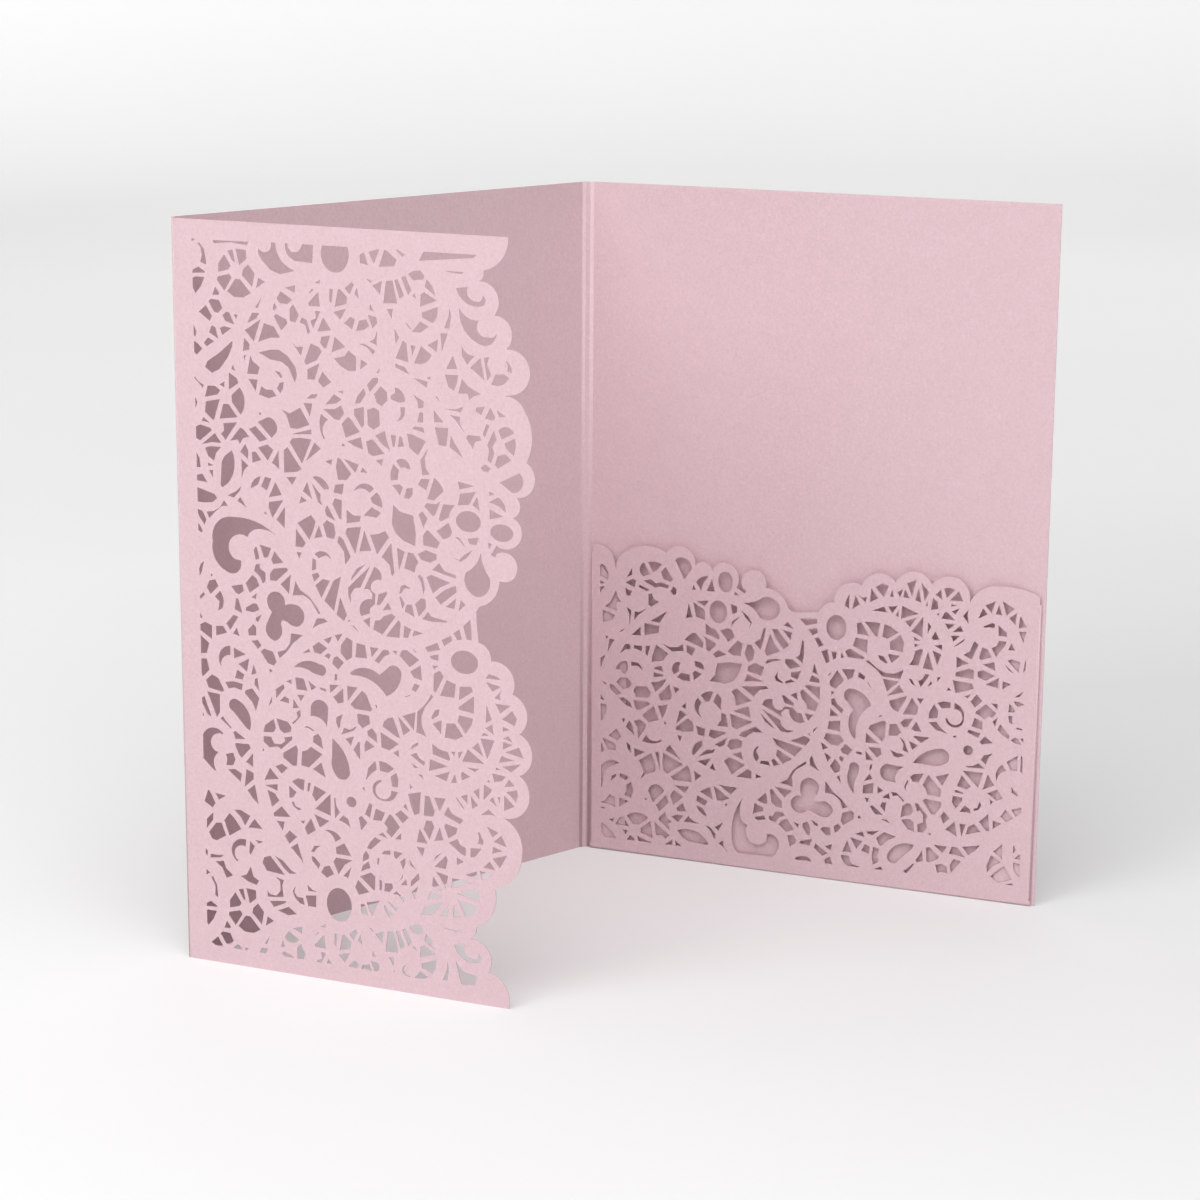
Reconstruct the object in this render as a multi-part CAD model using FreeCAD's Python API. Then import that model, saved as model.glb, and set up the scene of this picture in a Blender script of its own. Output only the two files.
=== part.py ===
import FreeCAD, Part

import math
import os

# A laser-cut pocket fold invitation: one sheet of pearl card, 0.3 mm thick,
# standing open on its bottom edges. Millimetres, +Z up, +Y away from the viewer.
# Walking along the sheet from the pocket panel's free edge: pocket panel, narrow
# spine, middle panel, narrow spine, lace flap. Every upright crease turns the
# same way, towards the inside face.

# --- driving dimensions ---------------------------------------------------
HEIGHT = 185.0            # all panels stand this high
POCKET_PANEL = 128.0      # free edge to first crease
MIDDLE_PANEL = 133.3      # between the two spines
FLAP = 88.3               # last crease to the lace flap's corner tips
RIGHT_SPINE = 2.33        # between pocket panel and middle panel
LEFT_SPINE = 2.49         # between middle panel and flap
CARD = 0.30               # thickness of the card
BEND = 0.30               # inside radius of the upright creases
RIGHT_CREASE = 32.87      # turn at each of the right spine's two creases, degrees
LEFT_CREASE = 56.69       # turn at each of the left spine's two creases, degrees
FIRST_PANEL_HEADING = 157.27   # direction walked along the pocket panel

TAB_BEND = 0.10           # inside radius where a glue tab folds behind the front
GLUE = 0.10               # thickness of the glue strip under a tab
TAB = 10.0                # width of a glue tab
TAB_TAPER = 14.0          # its top end runs down this much over its width
TAB_DROP = 2.1            # its top starts this far below the front's corner
TAB_FOOT = 1.5            # it starts this far above the bottom fold
SHOULDER = 1.0            # the front is full width this far above the bottom fold
POCKET_START = 1.0        # pocket front to the panel's free edge
POCKET_END = 0.9          # pocket front to the crease
RELIEF = 0.25             # slit at each end of the bottom fold

BORDER_FOLD = 5.3         # uncut border along the flap's crease
BORDER_TOP = 4.4          # uncut border along the top edge
BORDER_BOTTOM = 4.2       # uncut border along the bottom edge
SMALLEST_HOLE = 4.5       # square millimetres: cut-outs smaller than this stay closed
CHORD = 36.0              # round stretches of the lace turn this much per chord

# The lace is drawn on a sheet 88.3 wide and 185 high; a flap of another size
# stretches it.
DRAWN = (88.3, 185.0)
DRAWN_POCKET = 128.0      # the pocket panel that the lace fits unstretched
REPEAT = 158.0            # the lace starts again this far down, by the crease
REPEAT_TILT = 0.55        # and this much further down by the free edge
REPEAT_SHIFT = 0.30       # it is also this much nearer to the crease,
REPEAT_CLOSE = 1.1        # and this much more by the free edge

# On the pocket the lace is turned a quarter: up the front is away from the crease
# on the drawing, and along it is up the drawing.
LACE_MIDDLE = (45.0, 92.0)      # this point of the drawing
POCKET_MIDDLE = (38.25, 63.0)   # lies here: above the bottom fold, along the front
LACE_NARROW = 0.98        # lengths up the drawing shrink by this
LACE_LEAN = 0.013         # and it is turned this much further, in radians
LACE_CLOSE = 0.00052      # its scalloped side closes up with the square of the distance,
CLOSE_AT = -22.0          # most of all this far along from the middle,
CLOSE_REACH = 62.0        # and not at all this much further along
POCKET_WINDOW = (10.6, 31.2, 153.3)   # cut-outs lie above, and between, on the drawing
# Where the front meets its tab the last scallop is cut off square.
POCKET_SCALLOP = "89.2 27 ( 91.3 32.5 92 38.4 )"

# --- the lace: its scalloped free edge and its cut-outs -------------------
# Each line is one outline, and a line set in goes on with it: corners as "along up"
# pairs, measured from the crease and the bottom edge. "( m n x y )" is a round stretch from the corner
# before it, through m n, to x y.
EDGE = """
88.3 0 ( 87 6.2 83 8.4 ) ( 83.3 13.4 78.2 16.2 ) ( 79.5 17.6 79.8 19.4 ) ( 84 23.2 84.7 29.8 )
( 89.3 32.4 91.8 38.5 ) ( 91 44 87 47.6 ) ( 93.4 51.4 91.2 58.5 ) ( 94.5 63.5 91.1 68.6 )
( 93.2 72.8 89.3 78 ) ( 89.4 82.5 83.8 85.4 ) ( 82.8 88.4 80.6 89.6 ) 80.1 94.4 80 97.1 80.9 98.4
( 85 101.4 86 105 ) ( 90.6 108.4 85.2 111.3 ) 84.9 110.4 83.8 110.9 85.2 113.3
( 88.6 112.8 91.3 114.9 ) ( 91.4 118.3 89.3 120.2 ) ( 91.3 122.5 90.3 125.1 ) ( 94.8 128.1 92.8 133.4 )
( 94.3 139.4 92.4 145.4 ) ( 90.2 147.8 87.2 148.5 ) 89.6 149 ( 93.7 154.8 87.7 159.3 )
( 89.1 163.6 84.7 166.9 ) ( 85.7 171.2 80.6 174.5 ) ( 81.8 175.4 82 177.1 ) ( 86.4 179.6 88.3 185 )
"""

# the top band, which comes again at the foot
TOP_BAND = """
5.3 172.2 5.4 173 7 173.8 8.8 172.7 8.7 172.4
5.3 171 6 171.4 8.6 171.4 7.6 169.2 6 167.3 5.3 168.5
12.4 172.8 12.4 174.8 14.1 177.1 15.8 174.5 15.2 173.6
15 178 16.4 178.3 17 175.3 16.2 175.6
17.2 178.6 20 178.4 20.1 176.3 18.1 174.7
20.5 175.1 22.2 173.1 21.5 169.7 18.8 172.3 19.1 173.7
16.9 171.4 18.3 171.4 21.1 168.3 19 167.1 16.5 167.1 14.7 168.3
12 170.8 12.2 171.7 15.4 172.6 16 171.6 13.9 168.4
23.2 172.1 25 171.2 22.6 169.6
11.5 169.3 12.6 167.8 12.2 167.3 10.6 167.3
9.5 165.7 10.2 166.3 12.4 166.2 13.3 164.2 12 163 11 163.2
13.3 162.6 14.3 163.5 15.2 163.3 16.5 160.5 14 161.2
16.4 163 17.5 163 17 161.8
6.8 163 8.8 164.8 10.4 162.2 9.8 160.9
22.2 165 23.9 167.3 22.9 164.8
20 161.1 21.4 163.7 23.3 163.7 22.5 162.4
26.9 165.2 27.5 166.5 28.1 165.2 27.2 164.5
27.2 163.2 27.8 163.8 30.6 162.6 30.8 161.7 29.1 159.9
51.8 173.5 53.5 173 52.8 172.6
53.5 172 56 173.3 55.4 169.9
57 173.3 58.7 173.5 59.9 168.2 56.3 168
59.2 173.6 60 173.9 61.7 170.1 60.5 169.4
61 174.4 62 174.8 63.6 171.5 62.7 170.3
62.8 175.3 64 176 66 176.2 66.9 175 66.6 174.1 64 173.8
57.2 166.8 58.7 166.9 58.4 164.5
46.2 171 48 172.5 48.6 171.9 47.4 169.5
49.4 171.3 50 168.5 48.7 169.7
42.2 170.6 43.1 170.5 42.6 167.2 42.1 167.6
44.4 170.6 45 170.6 46.8 168.9 46.6 167.3 43.5 166.4
43.1 165.2 46.5 166.2 44.9 163.4
47.6 164.4 48.8 163.8 48 161.4 45.9 162.7
49.9 163.6 51.8 164 52.5 162.5 51.2 161.5 49.1 161.1
52.2 165.1 54.4 164.7 54.6 163.3 53.4 162
52.8 167.7 53.8 166 52.6 166.2
40.4 163.8 42.5 160.8 38.8 160.3
39.2 169.7 39.6 166.2 36.7 166.2 36.5 166.9
36.6 169 37.5 170.3 37.9 170
38.2 171.7 39.8 172.6 39.6 171.6
30.3 170.1 33.1 170.9 32.9 169
29.2 169.2 32.2 167.4 31 166.3 28.9 166.3 28 167.5
32.5 166.4 33.9 163.9 33 162 31.5 162.3 31.5 165.3
38.3 165.2 39.7 165.1 37.7 161 37 162.7 38.5 163.5
71.8 176.5 77.1 176.5 76.3 175.9 74.1 176.1
75.1 172.7 78.1 173.2 ( 78.4 170.6 80 169.9 ) ( 81.2 170 81.8 171.3 )
  ( 82.5 169.9 81.5 168.9 ) ( 78.1 169.1 75.1 172.7 )
67.5 174.3 67 172.4 69.8 170.5 68.9 172.9
64.4 170.9 64.9 169.5 63.8 170.2
66 170.7 66.8 171.3 70.1 169.5 65.8 167.8
66.2 166.5 70.4 168.1 70.1 165.6 69.1 164.2 66.4 165.2
65.8 164.4 68 163.3 65.8 161.8 63.6 161.8
73.3 168 73.8 166.3 73.3 163.2 72 163.3 73.1 165.8
"""

# top corner by the crease: a wheel of spokes, a long drop and a leaf
CORNER_WHEEL = """
5.3 179.7 6.6 180.3 5.3 180.4
7.4 179.6 8.6 178 9.1 175.5 9.1 174.3 7.5 174.9 8 176.5 7.7 178.3 6.9 179.2
11 180.3 20.8 180.4 20.3 179.5 15.5 180 11.4 179.5
12.5 159.5 13.7 160 15.6 159.6 13.1 157.8
10.3 160 9.5 158.2 12 156.8 11.3 159.6
5.3 160 6 158.3 5.8 157 5.3 157.2
5.3 156 6.5 155.3 7.6 154.2 5.9 152.6 5.3 153.2
8 155.6 9.2 157 10.9 156.2 8.7 154.8
15.9 156.7 12.3 153.6 8.9 151.3 8.2 149.8 10 148.5 12.2 149.6 14.5 152.5 15.8 155.3
19.2 159.4 20.7 160.3 23.6 162.3 21.7 156.8
22.9 156.8 24.5 161.4 27.3 160.7 28.8 158.2 26 158
19.1 157.6 20.5 156.2 20.4 154.8 18.7 154.4
18.9 153.3 19.5 153.5 19 151.9
20.7 153.5 21.2 152.2 23.2 150.8 22.6 149 19.7 149
22.9 154.3 26 155.2 28.5 155.3 30.8 154 32.8 151.5
  33.2 149.6 32.6 147.7 32 149 31 151.2 29 152.5 26 152.8
15.4 149.8 15.9 151 16.5 149.3
23.4 179 24 178.4 25 178.1 26.3 178.6 26.8 179.5 26.8 180.6 27.9 180.6
  28.2 178.5 29.5 176.3 31.2 175 33 174.2 29 173.2 26.5 174 24.2 176.2 23.3 177.8
30.5 180.6 31.3 180.6 31.3 179.6 32.2 178.6 33.8 178.7 34.8 179.7
  35 180.6 38 180.6 37.7 176.3 33 176.5 31.3 177.6 30.6 179
"""

# below the top border, middle
TOP_MIDDLE = """
50.2 179 51.3 179.6 52.4 176.6 50.3 177
52.5 179.8 55.4 180.6 53.9 177
56.7 180.5 57.5 180.2 59.8 178.3 59.2 176.8 55.2 176.4
59.2 180.9 60.3 180.6 62 179.6 61.4 179
59.1 162.3 60.3 160.4 59.4 158.7
61.3 159.7 62.2 159.1 62.7 154.6 59.4 155.4
59.3 154.2 61.8 153.5 62.9 151.8 59.3 153.2
54.6 161.5 54.4 158 52.6 158.9 53.9 159.7
49.6 158.2 51.5 158.2 54 156.8 53.4 155.8 52 157.4
50.2 154.5 52 153.6 50.1 152.2
43.1 154.3 46 155 47 156.4 49 155 48.9 151.7 47 151.5 44.8 152.5
43.4 159.4 46.2 157.2 42.5 155.6
42.2 159.6 41.2 156.7 40.5 156.4 39.5 157.7 39.9 159.2
34.7 163.4 36 162.9 36.9 160.2 36.3 159.4 35.6 161.6 34.1 162.1
32 157.4 33 156.3 35 156.5 34.3 154.2
37 157.4 39.2 156.6 39.9 155.7 38.5 153.5 35.7 152.2 35.2 153
36 151.2 39.3 152.9 37.9 148.8 36 148.8
38.8 148.4 40 151 42.3 148.6 40.2 147.1
51.8 148.6 53.2 150.3 54.7 150.6 54.7 149.5 52.5 146.9
"""

# the two curls by the top of the free edge
TOP_CURLS = """
66.9 180.9 80.9 181 79.4 179.8 65.6 178.4
75.9 168.1 ( 78.3 165.9 80.9 165.6 ) ( 80.9 162.6 83.2 161.9 )
  ( 84.6 162 85.3 162.9 ) ( 84.5 160.8 81.5 159.9 ) ( 78.4 161.6 75.9 168.1 )
76.4 159.5 ( 77.7 157.9 79.8 157.3 ) 77.7 155.2 76.5 157.2
74.2 157 75.3 153.9 72.4 153.8
72.1 152.5 75.5 152.6 75.2 150.9 74.4 148.8 73 149.6
81.2 157 82.2 151.8 78.6 154.5
82.1 157.1 83.5 157.4 82.9 155.6 83.9 153.3 83 151.8
87.6 156.8 ( 88.9 155.6 89.1 154 ) 88 154.3 88.3 155.6
85 153.4 87.2 153.6 88.4 152.8 ( 86.8 151.1 84 151 )
71 162 72.9 162.1 71.3 157.8 71.2 160.3
70.4 160.6 70 157.5 67.6 159
63.3 158.8 64.6 158.6 63.7 156.3
66 158.7 68.7 156.8 ( 67.2 155 64.2 154.6 )
63.9 151.1 65.7 150.9 67.6 150.5 67.4 149
68.4 151.8 68.1 150.9 67.4 151.4
76.5 151.8 78 150.2 81.3 148.5 79.5 148 78.3 147 78 148.4 75.5 148.3
"""

# leaves and a half wheel, upper left
LEAVES = """
5.3 147.4 6.3 146.2 7.7 145.5 7.5 144.7 5.3 146.8
13.5 146.8 13.4 145.2 12.1 145.9
8.8 145.4 10.8 145.5 12.2 144.5 11.5 143.4 8 142.6
14.7 149 16.9 147.7 17.3 146.6 14.6 144.8
17.6 145.6 ( 18.9 142.2 17.7 138.9 ) 15.4 141.8 15.3 143.6
5.3 142.4 5.9 141.2 5.3 139.6
8.2 141.5 12.1 142.4 10.4 137.2 9.9 137.2 7.9 138.9
13 141.3 14.5 141.3 16.9 138.3 11.9 137.6
7.4 137.7 9.2 136.4 7 136.7
5.3 135.2 6.5 135.8 9.3 135.2 9.7 134.6 6.4 131.9 5.3 132.3
10.5 134 12.3 131.7 9.5 131.7 6.8 131
12.9 136.6 16.7 137.1 13.4 132.5 12.2 134 13.1 134.8
17.5 135.9 18.5 135.5 20 133.8 18.3 133.4 17.3 131.8 16.8 132.9 14.7 132.5
7.7 130.2 9 130.7 12.2 130.8 10.8 129.2 10.1 127.2 8.6 128.1
5.3 128.9 6.1 127.7 6.4 125.3 5.3 125.3
8.4 126.7 10.1 126.1 8.5 125.8
8.7 124.8 9.8 124.9 9.7 123
5.3 123.4 6.8 123.8 8.2 121.8 5.3 122
5.3 120.4 10.1 119.1 10.8 118.1 9.4 117 7 116.7 5.3 116.8
15.1 130.2 ( 15.6 125.2 13.7 121.9 ) 12.3 120.9 11.8 121.4 12.2 127.1 13.1 128.7
18.8 132 19.6 130.5 19.5 128.3 17.4 130
20.6 130.2 21.6 130.4 23.2 128.5 20.7 127.6
17.7 128.3 19.6 126.8 18.4 125.7 17.7 123.6
22.3 131.4 24.8 132.4 26.5 131.2 24.9 128.4
27.9 131.2 28 126.6 26 128
22.3 137.6 25.2 139 ( 27.3 137.7 27.4 135.4 ) 26 134
21.7 136.6 24.9 133.6 22.7 132.8 19.9 135.7
20 147.8 22.6 147.8 21.9 144.9
23.5 146.3 24.7 145.6 26.5 145.6 27.6 144.2 25.3 143.5 22.8 144.2
29.6 147.7 29.4 146.1 28.6 144.9 27.7 146 28.5 147.5
20.1 121.3 ( 20.9 123.3 22.9 124.5 ) 22.2 122.5
24.1 124.5 25.8 124.2 24.5 121.1 22.9 122
26.9 123.5 28.6 120.4 25 119.6
25 118.4 29 119.3 25.9 114.6 24.9 117.1
29.4 117.7 29.2 112.3 27 114.3
17.4 121.6 17.2 120.6 15.3 118.6 13.7 119.1 15.9 120.2
17.2 119 18.9 116.5 16.3 117.9
12.7 117.8 13.7 116.5 12 116.3 10.1 114.7 8.4 113 7.8 114.6 9.8 114.9 11.4 115.9
27.2 150.3 28.7 150 29.3 148.8 28.7 148.6
"""

# wheels side by side, upper middle
TWIN_HUBS = """
35.7 144.2 36.9 145.3 38.7 145.5 38 144.4
34.8 143.1 37.2 143.2 36.5 139.9
40.8 143.2 43 145.8 45 144.7 43.6 143.6
44 146.5 45.5 146.8 45.3 146
40.1 142 43.2 142.3 44.9 143.3 45.7 141.4 44.3 139.6 42.9 139.9
39.5 140.8 41.4 139.6 ( 39.9 137.4 40.6 135 ) 40.1 134.9 ( 39.1 137.8 39.5 140.8 )
46.6 140.6 47.3 140.3 49.8 137.3 46 135.7 45 138.9
48.3 142.7 50.9 143.4 50.9 139 50.2 138.3 48.3 141.3
51.8 142.7 53.5 143.4 54.9 142.7 55.1 139.3 53.4 138.1 51.9 138.9
51 147.8 51.4 146.4 50 144.2 48.6 143.9 49.3 145.9
55.4 148.6 57 147.3 57.1 145.2 55.5 143.8 54.3 144.6 53.6 146.6
59.1 148.6 ( 60.8 147.8 61.7 145.3 ) 60 145 58.1 145.6 58 146.6 59.2 147.3
60.5 144 61.7 144.1 61.6 142.2 60.8 141.1 59.6 140.6 60.6 142.1
53.8 136.8 56.4 138.1 56.8 136.1 57.8 133.4 55.7 134.7
57.9 137.3 59.3 137.2 58.9 134.3 58.4 134.6
60.2 137.1 60.8 137 61.4 134.8 59.8 134.5
51.4 135.2 53.1 135.9 56.3 132.6 53.1 131.8 52 132.3
53.9 130.9 55.9 131.4 55.4 129.6
50 136.1 50.6 133.1 48.2 133.8 46.4 134.8
44.8 133.9 45.3 134.2 45.9 133.8 45.2 133.5
43.7 130.6 44.5 130.6 47.4 127.1 46.1 125.5 43.8 125.4 43.3 128.4
45.4 130.6 49.4 129.5 48.4 127.4
50.4 128.9 51.7 127.7 49.8 127.7
40.4 129.5 42.3 130.2 42.1 128.8
48 123 ( 49.9 124.9 53.4 124.1 ) 52.1 122.9 ( 50.2 123.8 48 123 )
54.1 123.3 ( 55.2 121.8 55.5 119.6 ) 52.9 120.5 52.4 121.8
52.7 119.6 55.2 118.4 53.9 117.1 50.5 117.4
46 118.4 47.8 117.2 49.8 117.2 49.5 115.8 46 115.1
36.9 125.5 37.7 125.8 ( 40.2 124.9 41.4 122.9 ) 40 122.7
45.4 124.6 44.9 121.9 42.6 122.2 43 124.1
42.9 120.9 44.8 120.5 44.6 115.9 44.1 115.9 42.2 119.4
40.8 119 43 115.4 40.7 116.3 40.1 117.7
36.8 124 39.1 121.4 39 120 39.6 118.9 38.4 119.4 37.6 121.8
35.5 124.2 36.8 120.1 34.3 121.8
33.8 120.6 35.4 119.6 33.3 118.8
30.9 133.4 31.7 134.4 33.9 134.7 36.8 134.5 34.2 128.4
37.6 133.9 39.3 132.5 35.3 129.2
31.4 135.4 36.8 136.9 36.9 135.7
28.8 141.2 31 140.3 33.9 141.9 36.4 138 33 136.7 31.2 136.8 30.2 139.7
30.3 132.2 34 127.2 32.9 126.4 29.3 125.9 29.3 131.4
29.9 124.9 32.7 125.2 31.4 123
58.6 130.4 60 129.1 59.6 126.6 57.8 126.4 57.8 128.6
58.2 125.3 60.2 125.7 61 125 60.2 123
"""

# ring pair and wheel, upper right
OVAL_RINGS = """
63.8 147.3 66.6 145.8 66.5 144.3 65.2 144.1 65 145.6
65.5 143.2 66.4 143.2 66.4 140.8 64.9 140.8
64.2 139.8 66.5 139.6 66.7 138.3 63.7 139.1
62.2 137.9 63.5 137.8 67.1 136.5 65 132.9 62.8 134.5
69.2 143.9 71.7 141.2 69.3 141.1
69.4 140 72.9 140 72.4 135.6 70.5 135.8
73.6 138.2 76.7 133.3 73.2 135.5
72.1 144.5 75 144.6 76.9 145.4 76.1 143.9
73.4 143.1 75.9 142.9 75.8 141.4 77.2 139 74.9 141.9
78 138.8 81.1 138.8 81.3 137.7 79.8 137.3 79.2 135.6 77.5 138
80.2 145.4 82.3 145.8 81.4 143.7 80 144.4
83.7 145.6 85 143.4 84.3 142.5 82.4 143
85.3 145.2 87.9 143.7 86 143.6
82.7 141.7 83.5 141.5 82.3 138.5 81.8 139.3
84.6 140.4 85.3 138.2 84.2 136.5 84.7 135 83.9 132.6 83 133.2 83.4 135.6 82.9 136.8
85.8 140.4 ( 87.9 141.4 89.7 140 ) 86.6 138.4
87.3 137.6 90 138.9 90.2 137 89.7 134.7 87.8 136.2
85.5 134.4 87.5 135.1 89 133.7 85.6 131.5 84.9 132.3
82.4 132.3 83.8 131.4 83.1 130.5 81.8 130.5 81.3 131.4
86 128.3 91.1 130.9 ( 92 128.1 89.2 126.1 )
83.4 126 84.8 125.5 83.5 124.9
83.3 123.4 85.6 124.8 ( 87.2 123.3 87.6 121.3 ) 85.9 122.6
83.5 121.8 87 120.3 83.5 119.4
75.3 127.7 79.6 126.9 75.8 125.8
75.9 124.8 80 125.6 78.2 122.3 75.3 122
80.3 124.5 81 121 79.1 122.3
69.2 128 ( 70.8 126.6 71.6 125 ) 69 122.5 67.4 122.8
65.8 127.5 68 127.5 67.1 124.8 64.9 126
67.7 134.9 66.8 132.5 67 130.2 68 128.6 66.1 128.4 65.6 131.9
67.1 121.8 69.7 121.8 70.9 122.7 69.3 119 68.6 118.9 66.6 120.9
71.5 121.9 74.5 122 73.3 120.3 73 119 70.8 117.7 70.3 118.2
72.9 117.7 73.8 115.5 73.3 114.3 71.4 113.5 69.8 115.4
66 119.8 67.4 118.2 66.3 115.8 65.1 118.9
77.8 114.3 80.7 114.8 80 112.9 78.4 113
83.1 113.9 84.1 113.6 83.3 112.3
59.3 131.2 ( 61.5 131.7 62.9 129.5 ) 62.3 129.4 61.6 129.9 60.4 129.6
62 124.9 63.6 125.2 63.5 123.4 62.6 122.4 61.3 122.5
"""

# horseshoe and three-lobed hole, left of centre
HORSESHOE_AND_TREFOIL = """
5.3 115 6.7 114.6 7.7 112.6 7.1 111.2 5.8 112.9 5.3 114
5.5 111.6 6.6 109.7 6.2 109.2 5.3 109.7 5.3 111
26.7 110.5 ( 24.4 111.4 22.3 111.5 ) ( 20.2 110.9 18.9 109.2 ) ( 13.9 107.5 15.3 103.6 ) 17 103.4
  ( 16 100.4 14 99.9 ) ( 10.1 102.6 9.3 107.5 ) ( 10.7 112.3 15.1 113.9 ) ( 21 113.4 26.7 110.5 )
21.1 107.2 21.5 107 22.2 104.4 21.1 103.9 20.6 106.2
22.3 107.8 25.4 107.2 24.5 104.8 23.4 104.6
26.3 106.5 28.7 103.9 25.9 103.3 25.4 104.4
26 102.2 29.5 102.8 30 102.2 26.7 99.2 24.9 99.2 25 101
30.7 101.3 30.1 96.3 27.8 98.5
22.2 103 22.2 101.9 23.8 101 23.7 98.9 22.9 98.2 22.2 99.8 20.6 101.1 21.1 102.8
20.1 100.1 21.3 99.3 22 97.6 19.2 95.6 18.2 97.9
14.2 96.8 17.3 97.5 17.7 95.9 16.3 94.9 15.4 95.1
21.2 95.7 21 94.1 19.7 94.5
20.2 93.1 21.2 93.1 21.9 91.6 20.1 90.8 18.1 91 18.2 91.9
15.4 93.9 16.1 93.8 17.2 90.2 15 91
22.5 90.6 21.5 88.5 20.8 88.7 20.9 89.6
20.1 87.9 20.9 87.2 20.9 85.1 18.8 84.9 18.6 86.4
19.5 83.7 21.3 84.1 22.3 82.8 21.2 81.8
22 81.3 23 82.1 25.4 81.6 26.4 79.1 25.6 78.1 23.9 78.5
24.4 77.3 25.3 76.8 24.4 76.2
6.7 102.2 6.1 99.7 5.4 98.4 5.3 100.2 5.8 101.5
8.1 97.6 9.8 98 10.6 96.4 8.3 94.2 7.3 95.8
6.5 94.6 6.8 93.9 5.5 92.7 5.3 93.4
11 95.3 ( 12 92.9 11.5 90.9 ) 10.4 90.3 10.8 92.5 9.5 93.7
5.4 89.3 6 88 5.3 88
5.3 86.4 6.7 87.1 8.6 86.4 8.5 82.9 5.3 84.8
9.7 86.4 11.7 86.6 12.8 85 9.7 84
14.6 89.7 16 89.3 13.6 85.7 12.6 87.3
15.5 86.6 16.3 84.4 14.4 84.9
5.3 83.7 7.7 81.9 6.9 79.2 5.3 79.1
13.6 81.8 13.6 79.4 ( 11.7 78.8 11.1 76.2 ) ( 10.5 79.6 13.6 81.8 )
14.5 81.5 17.9 80.1 14.6 78.8
18.8 79.2 18.1 75.7 15.7 77.5
19.9 77.9 20.8 75.7 19.3 75.1
28.9 93.5 ( 26.3 96.6 24 93.9 ) ( 24.5 92.4 25.3 91.4 ) ( 24.6 90 24 88.7 )
  ( 23.7 86.2 25.9 84.3 ) ( 28 86.4 27.7 88.6 ) 28.1 89.7 29.3 89.4
  ( 30.7 88.6 31.9 88.4 ) ( 34.2 91.1 31.9 93.9 ) ( 30.4 93.9 28.9 93.5 )
30.5 86.7 33.8 86.6 31 84.3 29.2 81.9 27.2 80.1 26.6 81.6 28.8 82.4 30.2 84.3
31.9 99.8 33.1 97.7 35.7 96.2 37.4 94.3 38.7 92.3 38 92.2 36 95.3 34 96.4 31.1 96.1
32.4 106.9 33.7 106.9 33 105.2
32.3 112.6 34.9 109.3 34.1 108.1 32.1 108.2
32.7 114 36.4 116.3 37.6 114.8 37 112.7 35.9 110.1
38.5 114 39.5 111.2 37.2 110.7
39.6 114.3 40.7 115.4 42.5 114.6 43 112.4 42.5 110.9 40.6 111.2
43.9 111.9 45 111.2 47 107.1 45.5 105 45.2 108 43.4 110.3
46.1 114 49.8 114.6 48.2 107.9 45.6 112.7
50.7 113.8 52.5 109.1 49.3 108.6
52.2 112.9 54.5 113.3 56.2 114.2 57.2 112.7 54 108.3
57.8 111.5 58.6 104.2 57.9 103.4 57.3 106 55.2 107.8
59.3 110.5 61.4 109.6 59.8 105
58.4 120.7 60.2 119.2 63.6 118.5 64.3 114.5 64.1 111.2 61 112.2 59 113.8 58 116
62.2 109.6 63.6 109.5 64.9 107.5 64.3 106.4 63.9 104.8 61.2 105.6
67.3 115.5 69.1 114 70.6 112.6 69.8 111.2 66.3 111.6 66.2 114
64.8 109.5 67 110.6 69.7 109.8 69.7 108.5 67.9 107.6 65.6 108.1
70.4 107.8 71.7 106 74.8 105.2 74.7 104.5 71.5 105.1 68.5 106
68.3 104.8 73.3 103.3 70.6 101.9 68.7 100.3 67 104.1
74.7 102.8 74.9 101.2 70.7 97.8 69.3 99.4 72 101.6
74.8 99.8 74.3 97.1 72 97.4
76 99.5 77.2 98.4 75.4 96.7
81.2 111.2 ( 81.8 108.4 83.4 105.5 ) ( 82.9 102 80.2 100.5 )
  ( 77.3 102.8 77.4 106.3 ) ( 79.9 108.4 81.2 111.2 )
74.3 114.5 75.8 114.3 77.3 112.2 76.6 112.7 75.6 113.7
74.1 109.4 75.6 109 77.2 110.6 79.1 111.7 77.6 109.7 76 108.6
"""

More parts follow.
